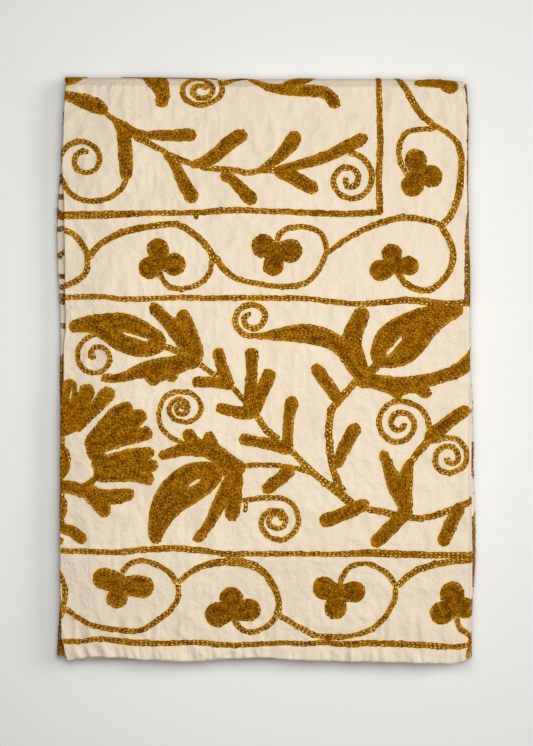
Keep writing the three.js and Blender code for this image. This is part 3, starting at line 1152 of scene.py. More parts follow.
class StitchPlan:
    """Sets out the chain stitches on the pattern sheet, one row each."""

    # The stitch, the rows of a filled shape, and how much wider than its share of a line a row is sewn
    PITCH = 4.4
    LEAST_PITCH = 0.45
    ROW = 3.0
    FIRST_ROW = 1.5
    FILL_WIDTH = 3.5
    LINE_FULLNESS = 1.28
    LINE_OPEN = 0.7
    EDGE_OPEN = 0.55
    FILL_OPEN = 0.85
    DYE = 0.42
    # The grid that a shape is filled on, and the ground that shapes cover
    GRID = 0.8
    MARGIN = 2
    CELLS = (760, 560)
    COVER_DEPTH = 1.0
    # Bare ground is this far from a stitch, measured at these shares of its length
    BARE = 1.6
    ALONG_STITCH = (-0.3, 0.0, 0.3)
    # A stroke's middle is bare where the shape is no deeper beside it and the last row leaves more than the
    # larger or less than the smaller of these. A row along it keeps the other rows clear
    SAME_DEPTH = 0.35
    MIDDLE_BARE = (0.8, 1.55)
    MIDDLE_CLEAR = 0.8
    # The half widths from which a line has two and three rows, and the fewest points of a stretch of rows
    ROWS_FROM = (2.05, 3.6)
    LEAST_POINTS = 3
    # The small differences of hand work
    UNEVEN_PLACE = 0.22
    UNEVEN_HEADING = 0.12
    UNEVEN_SIZE = 0.08
    TENSION_CELL = 24.0
    TENSION_SLACK = 0.6
    UNEVEN_SLACK = 0.2
    EMPTY = np.zeros((0, len(Column)))

    def __init__(self, seed: int) -> None:
        """Starts with an empty cloth.

        Args:
            seed: The seed of the small differences between stitches.
        """
        self.draw = np.random.default_rng(seed)
        self.tension = SoftNoise(seed, self.TENSION_CELL, self.TENSION_CELL)
        self.sewn = np.zeros(self.CELLS, dtype=bool)

    def chain(self, row: np.ndarray, width: float | np.ndarray, openness: float) -> np.ndarray:
        """Chain stitches along a row.

        Args:
            row: Points of the row, in order.
            width: The stitches' width, or the width at each point.
            openness: How open the loops are.

        Returns:
            One row a stitch.
        """
        run = np.concatenate([[0.0], np.cumsum(np.hypot(*np.diff(row[:, :2], axis=0).T))])
        count = round(run[-1] / self.PITCH)
        if count == 0 and run[-1] > self.LEAST_PITCH * self.PITCH:
            count = 1
        if count == 0:
            return self.EMPTY
        knots = np.linspace(0.0, run[-1], count + 1)
        x, y = np.interp(knots, run, row[:, 0]), np.interp(knots, run, row[:, 1])
        wide = np.interp(knots, run, np.broadcast_to(width, run.shape))
        step = np.hypot(np.diff(x), np.diff(y))
        middle = ((x[1:] + x[:-1]) / 2, (y[1:] + y[:-1]) / 2)
        heading = np.arctan2(np.diff(y), np.diff(x))
        same = np.full(count, openness), np.full(count, self.DYE)
        return np.stack([*middle, heading, step, (wide[1:] + wide[:-1]) / 2, *same], axis=-1)

    def free(self, stitches: np.ndarray) -> np.ndarray:
        """Leaves out the stitches that lie inside a shape sewn before.

        Args:
            stitches: One row a stitch.

        Returns:
            The others.
        """
        row = np.clip(stitches[:, Column.Y].astype(int), 0, self.CELLS[0] - 1)
        column = np.clip(stitches[:, Column.X].astype(int), 0, self.CELLS[1] - 1)
        return stitches[~self.sewn[row, column]]

    def fill(self, shape: Fill) -> np.ndarray:
        """The rows that fill a shape, from its outline inwards.

        Args:
            shape: The shape.

        Returns:
            One row a stitch.
        """
        low, high = shape.box()
        low, high = np.floor(low) - self.MARGIN, np.ceil(high) + self.MARGIN
        x, y = np.meshgrid(np.arange(low[0], high[0], self.GRID), np.arange(low[1], high[1], self.GRID))
        depth = shape.depth(x, y)
        rows = []
        middles = self.bare_middles(shape)
        spine = np.vstack(middles) if middles else self.EMPTY
        level = self.FIRST_ROW
        while level < depth.max():
            for loop in Contours(depth, level).loops():
                outline = level == self.FIRST_ROW
                openness = self.EDGE_OPEN if outline else self.FILL_OPEN
                stitches = self.chain(loop * self.GRID + low, self.FILL_WIDTH, openness)
                if not outline and len(spine) and len(stitches):
                    away = np.hypot(stitches[:, :1] - spine[:, 0], stitches[:, 1:2] - spine[:, 1]).min(axis=1)
                    stitches = stitches[away > self.MIDDLE_CLEAR]
                rows.append(stitches)
            level += self.ROW
        rows.extend(self.chain(middle, self.FILL_WIDTH, self.FILL_OPEN) for middle in middles)
        inside = depth > self.FIRST_ROW
        stitches = self.close_gaps(np.vstack(rows), np.stack([x[inside], y[inside]], axis=-1))
        stitches = self.free(stitches)
        stitches[:, Column.DYE] = shape.dye
        self.cover(shape)
        LOG.debug("%s: %d stitches", shape.name, len(stitches))
        return stitches

    def close_gaps(self, stitches: np.ndarray, ground: np.ndarray) -> np.ndarray:
        """Adds single stitches where the rows leave bare ground.

        Args:
            stitches: The stitches of the rows.
            ground: Places all over the shape.

        Returns:
            The stitches with those that were added.
        """
        def reach(rows: np.ndarray) -> np.ndarray:
            """How far the ground is from stitches.

            Args:
                rows: The stitches.

            Returns:
                The distance from each place of the ground to each stitch's line.
            """
            away = np.full((len(ground), len(rows)), np.inf)
            for share in self.ALONG_STITCH:
                along, heading = share * rows[:, Column.LENGTH], rows[:, Column.HEADING]
                x = rows[:, Column.X] + along * np.cos(heading)
                y = rows[:, Column.Y] + along * np.sin(heading)
                away = np.minimum(away, np.hypot(ground[:, :1] - x, ground[:, 1:] - y))
            return away

        away = reach(stitches)
        nearest, bare = away.argmin(axis=1), away.min(axis=1)
        added = []
        while bare.max() > self.BARE:
            place = int(bare.argmax())
            heading = stitches[nearest[place], Column.HEADING]
            added.append((*ground[place], heading, self.PITCH, self.FILL_WIDTH, self.FILL_OPEN, self.DYE))
            bare = np.minimum(bare, reach(np.array(added[-1:]))[:, 0])
        return np.vstack([stitches, *added])

    def bare_middles(self, shape: Fill) -> list[np.ndarray]:
        """Finds where the rows on both sides leave the middle of a stroke bare.

        Args:
            shape: The shape.

        Returns:
            The stretches of its strokes, each with its points.
        """
        stretches = []
        for stroke in shape.strokes:
            drawn = stroke.drawn()
            depth = shape.depth(drawn[:, 0], drawn[:, 1])
            left = np.mod(depth - self.FIRST_ROW, self.ROW)
            few, many = self.MIDDLE_BARE
            bare = (np.abs(depth - drawn[:, 2]) < self.SAME_DEPTH) & ((left > many) | (left < few))
            changes = np.flatnonzero(np.diff([0, *bare, 0]))
            for start, end in zip(changes[::2], changes[1::2]):
                if end - start >= self.LEAST_POINTS:
                    stretches.append(drawn[start:end])
        return stretches

    def cover(self, shape: Fill) -> None:
        """Notes the ground that a shape covers.

        Args:
            shape: The shape.
        """
        low, high = shape.box()
        columns = np.arange(max(0, int(low[0])), min(self.CELLS[1], int(high[0]) + 1))
        lines = np.arange(max(0, int(low[1])), min(self.CELLS[0], int(high[1]) + 1))
        x, y = np.meshgrid(columns + 0.5, lines + 0.5)
        held = self.sewn[lines[0]:lines[-1] + 1, columns[0]:columns[-1] + 1]
        held |= shape.depth(x, y) > self.COVER_DEPTH

    def follow(self, stroke: Stroke | Spiral) -> np.ndarray:
        """One, two or three rows side by side along a line, as its width asks.

        Args:
            stroke: The line.

        Returns:
            One row a stitch.
        """
        drawn = stroke.drawn()
        tangent = np.gradient(drawn[:, :2], axis=0)
        tangent /= np.linalg.norm(tangent, axis=1, keepdims=True)
        normal = np.stack([-tangent[:, 1], tangent[:, 0]], axis=-1)
        count = 1 + np.searchsorted(self.ROWS_FROM, drawn[:, 2], side="right")
        breaks = [0, *(np.nonzero(np.diff(count))[0] + 1), len(count)]
        rows = []
        for start, end in zip(breaks, breaks[1:]):
            if end - start < self.LEAST_POINTS:
                continue
            stretch, across, rows_here = drawn[start:end], normal[start:end], int(count[start])
            wide = 2 * stretch[:, 2] / rows_here
            for index in range(rows_here):
                aside = (index - (rows_here - 1) / 2) * wide
                row = stretch[:, :2] + across * aside[:, None]
                rows.append(self.chain(row, wide * self.LINE_FULLNESS, self.LINE_OPEN))
        return np.vstack(rows) if rows else self.EMPTY

    def unsettled(self, stitches: np.ndarray) -> np.ndarray:
        """Gives stitches the small differences of hand work.

        Args:
            stitches: One row a stitch.

        Returns:
            The same stitches, moved.
        """
        count = len(stitches)
        moved = stitches.copy()
        moved[:, :2] += self.draw.normal(0.0, self.UNEVEN_PLACE, (count, 2))
        moved[:, Column.HEADING] += self.draw.normal(0.0, self.UNEVEN_HEADING, count)
        moved[:, Column.LENGTH] *= self.draw.normal(1.0, self.UNEVEN_SIZE, count)
        moved[:, Column.WIDTH] *= self.draw.normal(1.0, self.UNEVEN_SIZE, count)
        slack = self.TENSION_SLACK * self.tension.at(moved[:, Column.X], moved[:, Column.Y])
        slack = slack + self.draw.normal(0.0, self.UNEVEN_SLACK, count)
        moved[:, Column.OPENNESS] = np.clip(moved[:, Column.OPENNESS] + slack, 0.0, 1.0)
        return moved


@dataclass(frozen=True)
class ChainLoop:
    """One loop of chain stitch in wool yarn: narrow where it comes up, round where the next one holds it."""

    ring_steps: int = 8
    yarn_sides: int = 4
    ring: float = 0.5
    packed_yarn: float = 0.32
    open_yarn: float = 0.2
    yarn_radius: float = 0.44
    overlap: float = 1.95
    squareness: float = 0.52
    rise_marks: tuple[float, ...] = (-0.5, -0.36, -0.2, 0.1, 0.5)
    rise: tuple[float, ...] = (0.05, 0.55, 0.5, 0.34, 0.2)
    taper_marks: tuple[float, ...] = (-0.5, -0.3, -0.1, 0.15, 0.5)
    taper: tuple[float, ...] = (0.4, 0.62, 0.88, 1.0, 1.0)

    def model(self, yarn: float) -> tuple[np.ndarray, np.ndarray, np.ndarray]:
        """The loop's points, faces and the yarn's own coordinates.

        Args:
            yarn: The yarn's radius as a share of the loop's size.

        Returns:
            The points as shares of length and width and a height in millimetres, the corners of each face,
            and a place along and around the yarn for each corner.
        """
        bpy.ops.object.select_all(action="DESELECT")
        bpy.ops.mesh.primitive_torus_add(
            major_segments=self.ring_steps, minor_segments=self.yarn_sides,
            major_radius=self.ring, minor_radius=yarn, generate_uvs=False,
        )
        start = bpy.context.object
        points = np.array([vertex.co[:] for vertex in start.data.vertices])
        faces = np.array([face.vertices[:] for face in start.data.polygons])
        bpy.data.meshes.remove(start.data)

        outer = 2 * (self.ring + yarn)
        from_middle = np.hypot(points[:, 0], points[:, 1])
        sideways = points[:, 1] / from_middle
        squared = np.sign(sideways) * np.abs(sideways) ** self.squareness * from_middle
        along = points[:, 0] / outer
        across = squared / outer * np.interp(along, self.taper_marks, self.taper)
        height = points[:, 2] / yarn * self.yarn_radius + np.interp(along, self.rise_marks, self.rise)
        ring, side = np.divmod(faces, self.yarn_sides)
        twist = np.stack([self.turns(ring, self.ring_steps), self.turns(side, self.yarn_sides)], axis=-1)
        return np.stack([along, across, height], axis=-1), faces, twist

    @staticmethod
    def turns(steps: np.ndarray, count: int) -> np.ndarray:
        """Each face's corners as shares of a turn, where the last face ends at 1 instead of 0."""
        closing = steps.max(axis=1, keepdims=True) == count - 1
        return np.where((steps == 0) & closing, count, steps) / count


def new_piece(name: str, points: np.ndarray, faces: Sequence[np.ndarray]) -> bpy.types.Object:
    """A mesh object at the origin from arrays.

    Args:
        name: The piece's name.
        points: One row a vertex, in metres.
        faces: Arrays of faces, each with one count of corners a row.

    Returns:
        The new object, linked and smooth.
    """
    mesh = bpy.data.meshes.new(name)
    corners = np.concatenate([part.ravel() for part in faces]).astype(np.int32)
    sizes = np.concatenate([np.full(len(part), part.shape[1]) for part in faces])
    starts = np.concatenate([[0], np.cumsum(sizes)[:-1]]).astype(np.int32)
    mesh.vertices.add(len(points))
    mesh.vertices.foreach_set("co", points.astype(np.float32).ravel())
    mesh.loops.add(len(corners))
    mesh.loops.foreach_set("vertex_index", corners)
    mesh.polygons.add(len(sizes))
    mesh.polygons.foreach_set("loop_start", starts)
    mesh.polygons.foreach_set("use_smooth", np.ones(len(sizes), dtype=bool))
    mesh.update(calc_edges=True)
    mesh.validate()
    piece = bpy.data.objects.new(name, mesh)
    bpy.context.collection.objects.link(piece)
    return piece


def give_numbers(piece: bpy.types.Object, name: str, values: np.ndarray) -> None:
    """Keeps one number a vertex on a piece, for its finish to read."""
    layer = piece.data.attributes.new(name, "FLOAT", "POINT")
    layer.data.foreach_set("value", values.astype(np.float32))


def give_map(piece: bpy.types.Object, name: str, places: np.ndarray) -> None:
    """Gives a piece a flat map, one place a face corner."""
    layer = piece.data.uv_layers.new(name=name)
    layer.data.foreach_set("uv", places.astype(np.float32).ravel())


class NodeSheet:
    """A short way to set out a node tree."""

    # A Mix node's share and two colours, and its mixed colour, among its sockets of every kind
    MIX_INPUTS = (0, 6, 7)
    MIX_RESULT = 2

    def __init__(self, tree: bpy.types.NodeTree) -> None:
        """Works on one tree."""
        self.tree = tree

    def add(self, kind: str, **settings: object) -> bpy.types.Node:
        """Adds a node.

        Args:
            kind: Its kind.
            settings: Its settings by name.

        Returns:
            The node.
        """
        node = self.tree.nodes.new(kind)
        for name, value in settings.items():
            setattr(node, name, value)
        return node

    def give(self, socket: bpy.types.NodeSocket, value: object) -> None:
        """Links an input to a socket, or sets its value.

        Args:
            socket: The input.
            value: The socket or value.
        """
        if isinstance(value, bpy.types.NodeSocket):
            self.tree.links.new(value, socket)
        else:
            socket.default_value = value

    def put(self, node: bpy.types.Node, **values: object) -> bpy.types.Node:
        """Sets or links a node's inputs.

        Args:
            node: The node.
            values: Values or sockets, named with underscores for spaces.

        Returns:
            The node.
        """
        for name, value in values.items():
            self.give(node.inputs[name.replace("_", " ")], value)
        return node

    def maths(self, operation: str, *values: object) -> bpy.types.NodeSocket:
        """Adds a Math node.

        Args:
            operation: What it does.
            values: Its values or sockets.

        Returns:
            Its result.
        """
        node = self.add("ShaderNodeMath", operation=operation)
        for socket, value in zip(node.inputs, values):
            self.give(socket, value)
        return node.outputs[0]

    def plus(self, first: object, second: object, share: float) -> bpy.types.NodeSocket:
        """The first value with a share of the second added."""
        return self.maths("ADD", first, self.maths("MULTIPLY", second, share))

    def blend(self, share: object, first: object, second: object) -> bpy.types.NodeSocket:
        """Mixes two colours.

        Args:
            share: The second one's share.
            first: The first.
            second: The second.

        Returns:
            The mixed colour.
        """
        node = self.add("ShaderNodeMix", data_type="RGBA", blend_type="MIX")
        for index, value in zip(self.MIX_INPUTS, (share, first, second)):
            self.give(node.inputs[index], value)
        return node.outputs[self.MIX_RESULT]

    def shaded(self, tone: object, dark: object, light: object) -> bpy.types.NodeSocket:
        """A colour from dark to light, by a tone that is held between 0 and 1."""
        return self.blend(self.maths("MAXIMUM", self.maths("MINIMUM", tone, 1.0), 0.0), dark, light)

    def number(self, name: str) -> bpy.types.NodeSocket:
        """A number that the piece keeps at each vertex."""
        return self.add("ShaderNodeAttribute", attribute_name=name).outputs["Fac"]

    def map(self, name: str) -> bpy.types.NodeSocket:
        """A place on one of the piece's flat maps."""
        return self.add("ShaderNodeUVMap", uv_map=name).outputs[0]

    def noise(self, **values: object) -> bpy.types.NodeSocket:
        """Soft noise."""
        return self.put(self.add("ShaderNodeTexNoise"), **values).outputs[0]

    def apart(self, place: bpy.types.NodeSocket) -> bpy.types.NodeOutputs:
        """The three numbers of a place."""
        return self.put(self.add("ShaderNodeSeparateXYZ"), Vector=place).outputs


# A colour with its alpha, and a pair of scales for noise
Colour = tuple[float, float, float, float]
Scales = tuple[float, float]


def new_finish(name: str) -> tuple[bpy.types.Material, NodeSheet, bpy.types.Node]:
    """Starts a material.

    Args:
        name: Its name.

    Returns:
        The material, its node sheet and its surface shader.
    """
    finish = bpy.data.materials.new(name)
    finish.use_nodes = True
    return finish, NodeSheet(finish.node_tree), finish.node_tree.nodes["Principled BSDF"]


class FibreGroup:
    """The soft mottle and fuzz of spun fibre, which the cotton and the wool share."""

    NAME = "spun_fibre"
    CLOUD = {"Detail": 4.0, "Roughness": 0.6}
    FUZZ = {"Detail": 3.0, "Roughness": 0.7}

    @classmethod
    def tree(cls) -> bpy.types.NodeTree:
        """Builds the node group once.

        Returns:
            The group.
        """
        known = bpy.data.node_groups.get(cls.NAME)
        if known:
            return known
        tree = bpy.data.node_groups.new(cls.NAME, "ShaderNodeTree")
        for name, kind, way in (
            ("Place", "NodeSocketVector", "INPUT"),
            ("Cloud Scale", "NodeSocketFloat", "INPUT"),
            ("Fuzz Scale", "NodeSocketFloat", "INPUT"),
            ("Mottle", "NodeSocketFloat", "OUTPUT"),
            ("Fuzz", "NodeSocketFloat", "OUTPUT"),
        ):
            tree.interface.new_socket(name=name, in_out=way, socket_type=kind)
        sheet = NodeSheet(tree)
        given, out = sheet.add("NodeGroupInput"), sheet.add("NodeGroupOutput")
        place = given.outputs["Place"]
        cloud = sheet.noise(Vector=place, Scale=given.outputs["Cloud Scale"], **cls.CLOUD)
        fuzz = sheet.noise(Vector=place, Scale=given.outputs["Fuzz Scale"], **cls.FUZZ)
        sheet.put(out, Mottle=cloud, Fuzz=fuzz)
        return tree

    @classmethod
    def on(cls, sheet: NodeSheet, place: bpy.types.NodeSocket, scales: Scales) -> bpy.types.NodeOutputs:
        """The group's mottle and fuzz at a place, with the scale of each."""
        node = sheet.add("ShaderNodeGroup", node_tree=cls.tree())
        return sheet.put(node, Place=place, Cloud_Scale=scales[0], Fuzz_Scale=scales[1]).outputs


@dataclass(frozen=True)
class Surface:
    """How rough, glossy and raised a finish is, and the depth of its relief in metres."""

    roughness: float
    gloss: float
    relief: float
    depth: float

    def dress(self, sheet: NodeSheet, shader: bpy.types.Node, colour: object, height: object) -> None:
        """Gives a shader its colour and relief.

        Args:
            sheet: The node sheet.
            shader: The shader.
            colour: The colour's socket.
            height: The relief's socket.
        """
        bump = sheet.add("ShaderNodeBump")
        sheet.put(bump, Height=height, Strength=self.relief, Distance=self.depth)
        sheet.put(shader, Base_Color=colour, Normal=bump.outputs[0])
        sheet.put(shader, Roughness=self.roughness, Specular_IOR_Level=self.gloss)


@dataclass(frozen=True)
class CottonFinish:
    """Washed cream cotton in a plain weave, with painted shade under the filled shapes and painted bounce
    light from the wool round the stitches.
    """

    name: str = "cream_cotton"
    light: Colour = (0.91, 0.795, 0.625, 1.0)
    dark: Colour = (0.8, 0.67, 0.5, 1.0)
    # Painted shade: the dark brown of the shaded gaps between the loops of a filled shape
    gap_shade: Colour = (0.12, 0.04, 0.001, 1.0)
    # Painted light: the warm glow that the wool bounces and lets through onto the ground under and round it
    wool_bounce_light: Colour = (1.0, 0.66, 0.13, 1.0)
    fibre_scales: Scales = (14.0, 900.0)
    thread_pitch: float = 0.0009
    slub: Scales = (620.0, 75.0)
    slub_detail: float = 2.0
    even_slubs: float = 1.0
    weave_shade: float = 0.08
    slub_shade: float = 0.4
    # The relief's parts, beside the weave's height of 1
    fuzz_height: float = 2.0
    slub_height: float = 2.5
    crinkle_height: float = 14.0
    crinkle_scale: float = 200.0
    crinkle_detail: float = 3.0
    crinkle_twist: float = 0.6
    surface: Surface = Surface(0.95, 0.15, 0.5, 0.00025)

    def material(self) -> bpy.types.Material:
        """Builds the material on the cloth's flat map in metres.

        Returns:
            The material.
        """
        finish, sheet, shader = new_finish(self.name)
        place = sheet.map("flat")
        fibre = FibreGroup.on(sheet, place, self.fibre_scales)
        wave = 2 * math.pi / self.thread_pitch
        ways = [sheet.maths("MULTIPLY", way, wave) for way in sheet.apart(place)[:2]]
        weave = sheet.maths("MULTIPLY", *(sheet.maths("SINE", way) for way in ways))
        slubs = [self.streaks(sheet, place, scale) for scale in (self.slub, self.slub[::-1])]
        slubs = sheet.maths("SUBTRACT", sheet.maths("ADD", *slubs), self.even_slubs)
        mottle = sheet.plus(fibre["Mottle"], weave, self.weave_shade)
        mottle = sheet.plus(mottle, slubs, self.slub_shade)
        colour = sheet.shaded(mottle, self.dark, self.light)
        # Painted light: a golden glow on the ground under and round every stitch
        colour = sheet.blend(sheet.number("wool_bounce_glow"), colour, self.wool_bounce_light)
        # Painted shade on the ground in the gaps of the filled shapes
        colour = sheet.blend(sheet.number("fill_gap_shade"), colour, self.gap_shade)
        height = sheet.plus(weave, fibre["Fuzz"], self.fuzz_height)
        height = sheet.plus(height, slubs, self.slub_height)
        crinkle = sheet.noise(
            Vector=place, Scale=self.crinkle_scale, Detail=self.crinkle_detail, Distortion=self.crinkle_twist
        )
        height = sheet.plus(height, crinkle, self.crinkle_height)
        self.surface.dress(sheet, shader, colour, height)
        return finish

    def streaks(self, sheet: NodeSheet, place: bpy.types.NodeSocket, scale: Scales) -> bpy.types.NodeSocket:
        """Thick and thin threads one way of the cloth, with their scale across and along."""
        stretched = sheet.put(sheet.add("ShaderNodeMapping"), Vector=place, Scale=(*scale, 1.0))
        return sheet.noise(Vector=stretched.outputs[0], Scale=1.0, Detail=self.slub_detail)


@dataclass(frozen=True)
class WoolFinish:
    """Ochre wool yarn, uneven in its dye and twisted, with painted shade where the loops go down into the
    cloth.
    """

    name: str = "ochre_wool"
    light: Colour = (0.8, 0.335, 0.011, 1.0)
    dark: Colour = (0.24, 0.078, 0.0, 1.0)
    # Painted shade at the foot of each loop, where it goes down into the cloth
    deep: Colour = (0.05, 0.014, 0.0, 1.0)
    fibre_scales: Scales = (220.0, 1600.0)
    even_mottle: float = 0.5
    twists: float = 9.0
    twist_shade: float = 0.16
    surface: Surface = Surface(0.95, 0.0, 0.6, 0.0004)

    def material(self) -> bpy.types.Material:
        """Builds the material on the yarn's own map and each loop's numbers.

        Returns:
            The material.
        """
        finish, sheet, shader = new_finish(self.name)
        place = sheet.add("ShaderNodeTexCoord").outputs["Object"]
        fibre = FibreGroup.on(sheet, place, self.fibre_scales)
        along, around, _ = sheet.apart(sheet.map("yarn"))
        turn = sheet.maths("ADD", sheet.maths("MULTIPLY", along, self.twists), around)
        ply = sheet.maths("SINE", sheet.maths("MULTIPLY", turn, 2 * math.pi))
        mottle = sheet.maths("SUBTRACT", fibre["Mottle"], self.even_mottle)
        tone = sheet.plus(sheet.maths("ADD", sheet.number("dye"), mottle), ply, self.twist_shade)
        colour = sheet.shaded(tone, self.dark, self.light)
        # Painted shade: darker down each loop towards the cloth, as in a crevice
        colour = sheet.blend(sheet.number("out_of_crevice_shade"), self.deep, colour)
        height = sheet.maths("ADD", ply, fibre["Fuzz"])
        self.surface.dress(sheet, shader, colour, height)
        return finish


@dataclass
class ClothSheet:
    """The one sheet of cotton, folded into the packet, with both its faces and its hems."""

    packet: Packet
    thickness: float = 0.8
    hem_thickness: float = 1.3
    hem_width: float = 12.0
    # The legs that show on top, across and along, the spacing of their rows, and which of them the back has
    top_legs: tuple[int, int] = (FoldedLine.SECOND_RUN, 0)
    fine: float = 2.15
    back_every: int = 6
    # The steps along every other leg and round the three bends
    coarse: tuple[int, int] = (8, 16)
    bend_steps: tuple[int, int, int] = (14, 8, 5)
    long_bend_steps: tuple[int, int, int] = (22, 12, 7)
    bend_back_every: int = 2
    # How far round the sides and the outer fold the ground under the stitches is painted, and the depths in a
    # shape where the painted shade of its gaps and the painted bounce light from the wool start and are whole
    round_side: float = 8.0
    round_fold: float = 20.0
    gap_shade_depth: tuple[float, float] = (1.3, 3.2)
    bounce_light_depth: tuple[float, float] = (-1.4, 0.6)

    def stations(
        self, folded: FoldedLine, fine_leg: int, coarse: int, bends: Sequence[int]
    ) -> tuple[np.ndarray, np.ndarray]:
        """Where the mesh has its rows along one way of the cloth.

        Args:
            folded: The cloth's folded line that way.
            fine_leg: The leg that shows on top, which has close rows.
            coarse: The steps along each of the other legs.
            bends: The steps round each of the three bends.

        Returns:
            The places along the cloth, and whether the back face has a row there too.
        """
        places, on_back = [0.0], [True]
        bend_steps = iter(bends)
        for index, leg in enumerate(folded.legs()):
            if leg.radius:
                count, every = next(bend_steps), self.bend_back_every
            elif index == fine_leg:
                count, every = round(leg.length / self.fine), self.back_every
            else:
                count, every = coarse, 1
            for step in range(1, count + 1):
                places.append(leg.start + leg.length * step / count)
                on_back.append(step == count or step % every == 0)
        return np.array(places), np.array(on_back)

    def build(self, fills: Iterable[Fill], lines: Iterable[Stroke | Spiral]) -> bpy.types.Object:
        """Builds the folded sheet.

        Args:
            fills: The filled shapes, under which the ground gets painted shade.
            lines: The lines, under and round which, as round the fills, the ground gets painted bounce light
                from the wool.

        Returns:
            The sheet's object.
        """
        packet = self.packet
        (top_across, top_along), (across_steps, along_steps) = self.top_legs, self.coarse
        width, width_back = self.stations(packet.across, top_across, across_steps, self.bend_steps)
        length, length_back = self.stations(packet.lengthwise, top_along, along_steps, self.long_bend_steps)
        cross, along = np.meshgrid(width, length, indexing="ij")
        face = packet.surface(packet.left_fold - cross, along, np.full(cross.shape, self.thickness / 2))
        back_cross, back_along = np.meshgrid(width[width_back], length[length_back], indexing="ij")
        edge = np.minimum.reduce([back_cross, width[-1] - back_cross, back_along, length[-1] - back_along])
        drop = np.where(edge < self.hem_width, self.hem_thickness, self.thickness) - self.thickness / 2
        back = packet.surface(packet.left_fold - back_cross, back_along, -drop, creased=False)

        face_index = np.arange(cross.size).reshape(cross.shape)
        back_index = np.arange(back_cross.size).reshape(back_cross.shape) + cross.size
        quads = [self.quads(face_index), self.quads(back_index)[:, ::-1]]
        rims = self.rims(face_index, back_index, np.nonzero(width_back)[0], np.nonzero(length_back)[0])
        points = np.vstack([face.reshape(-1, 3), back.reshape(-1, 3)])
        piece = new_piece("cotton_sheet", points, [*quads, *rims])

        flat = np.vstack([np.stack([cross, along], axis=-1).reshape(-1, 2),
                          np.stack([back_cross, back_along], axis=-1).reshape(-1, 2)]) * MM
        corners = np.concatenate([part.ravel() for part in (*quads, *rims)])
        give_map(piece, "flat", flat[corners])
        u, strip = packet.left_fold - cross.ravel(), along.ravel()
        shown = (u > -self.round_side) & (u < packet.width + self.round_side)
        shown &= strip < packet.length + self.round_fold
        x = points[:cross.size, 0] / MM + PACKET_MIDDLE[0] - packet.centring[0]
        y = PACKET_MIDDLE[1] - points[:cross.size, 1] / MM + packet.centring[1]
        past = strip - packet.outer_fold.start
        y = np.where(past > 0, packet.fold_place(x, past), y)
        sewn = [*fills, *(Fill("line", (stroke,)) for stroke in lines)]
        # Masks for the painted shade of the fills' gaps and the painted bounce light round all the stitches
        for name, shapes, depth in (
            ("fill_gap_shade", fills, self.gap_shade_depth),
            ("wool_bounce_glow", sewn, self.bounce_light_depth),
        ):
            covered = np.zeros(len(points))
            covered[:cross.size] = np.where(shown, self.covered(x, y, shapes, *depth), 0.0)
            give_numbers(piece, name, covered)
        return piece

    @staticmethod
    def quads(index: np.ndarray) -> np.ndarray:
        """The faces of a grid of vertices, facing the embroidered side."""
        corners = (index[:-1, :-1], index[:-1, 1:], index[1:, 1:], index[1:, :-1])
        return np.stack(corners, axis=-1).reshape(-1, 4)

    @staticmethod
    def rims(face: np.ndarray, back: np.ndarray, rows: np.ndarray, columns: np.ndarray) -> list[np.ndarray]:
        """The faces that close the sheet's four edges.

        Args:
            face: The embroidered face's vertices.
            back: The back's vertices, fewer than the face's.
            rows: The face's rows that the back has too.
            columns: The face's columns that the back has too.

        Returns:
            The faces, grouped by their count of corners.
        """
        rims = []
        for edge, plain, kept, turned in (
            (face[0], back[0], columns, True), (face[-1], back[-1], columns, False),
            (face[:, 0], back[:, 0], rows, False), (face[:, -1], back[:, -1], rows, True),
        ):
            for step, (first, last) in enumerate(zip(kept, kept[1:])):
                ring = [*edge[first:last + 1], plain[step + 1], plain[step]]
                rims.append(np.array([ring[::-1] if turned else ring]))
        return rims

    @staticmethod
    def covered(x: np.ndarray, y: np.ndarray, shapes: Iterable[Fill], low: float, high: float) -> np.ndarray:
        """How far shapes cover places on the pattern sheet.

        Args:
            x: Places to the right.
            y: Places down.
            shapes: The shapes.
            low: The depth in a shape where its cover starts.
            high: The depth where it is whole.

        Returns:
            A share from 0 to 1 for each place.
        """
        total = np.zeros(len(x))
        for shape in shapes:
            least, most = shape.box()
            beside = (x > least[0] + low) & (x < most[0] - low)
            near = np.nonzero(beside & (y > least[1] + low) & (y < most[1] - low))[0]
            if len(near):
                total[near] = np.maximum(total[near], smooth(shape.depth(x[near], y[near]), low, high))
        return total


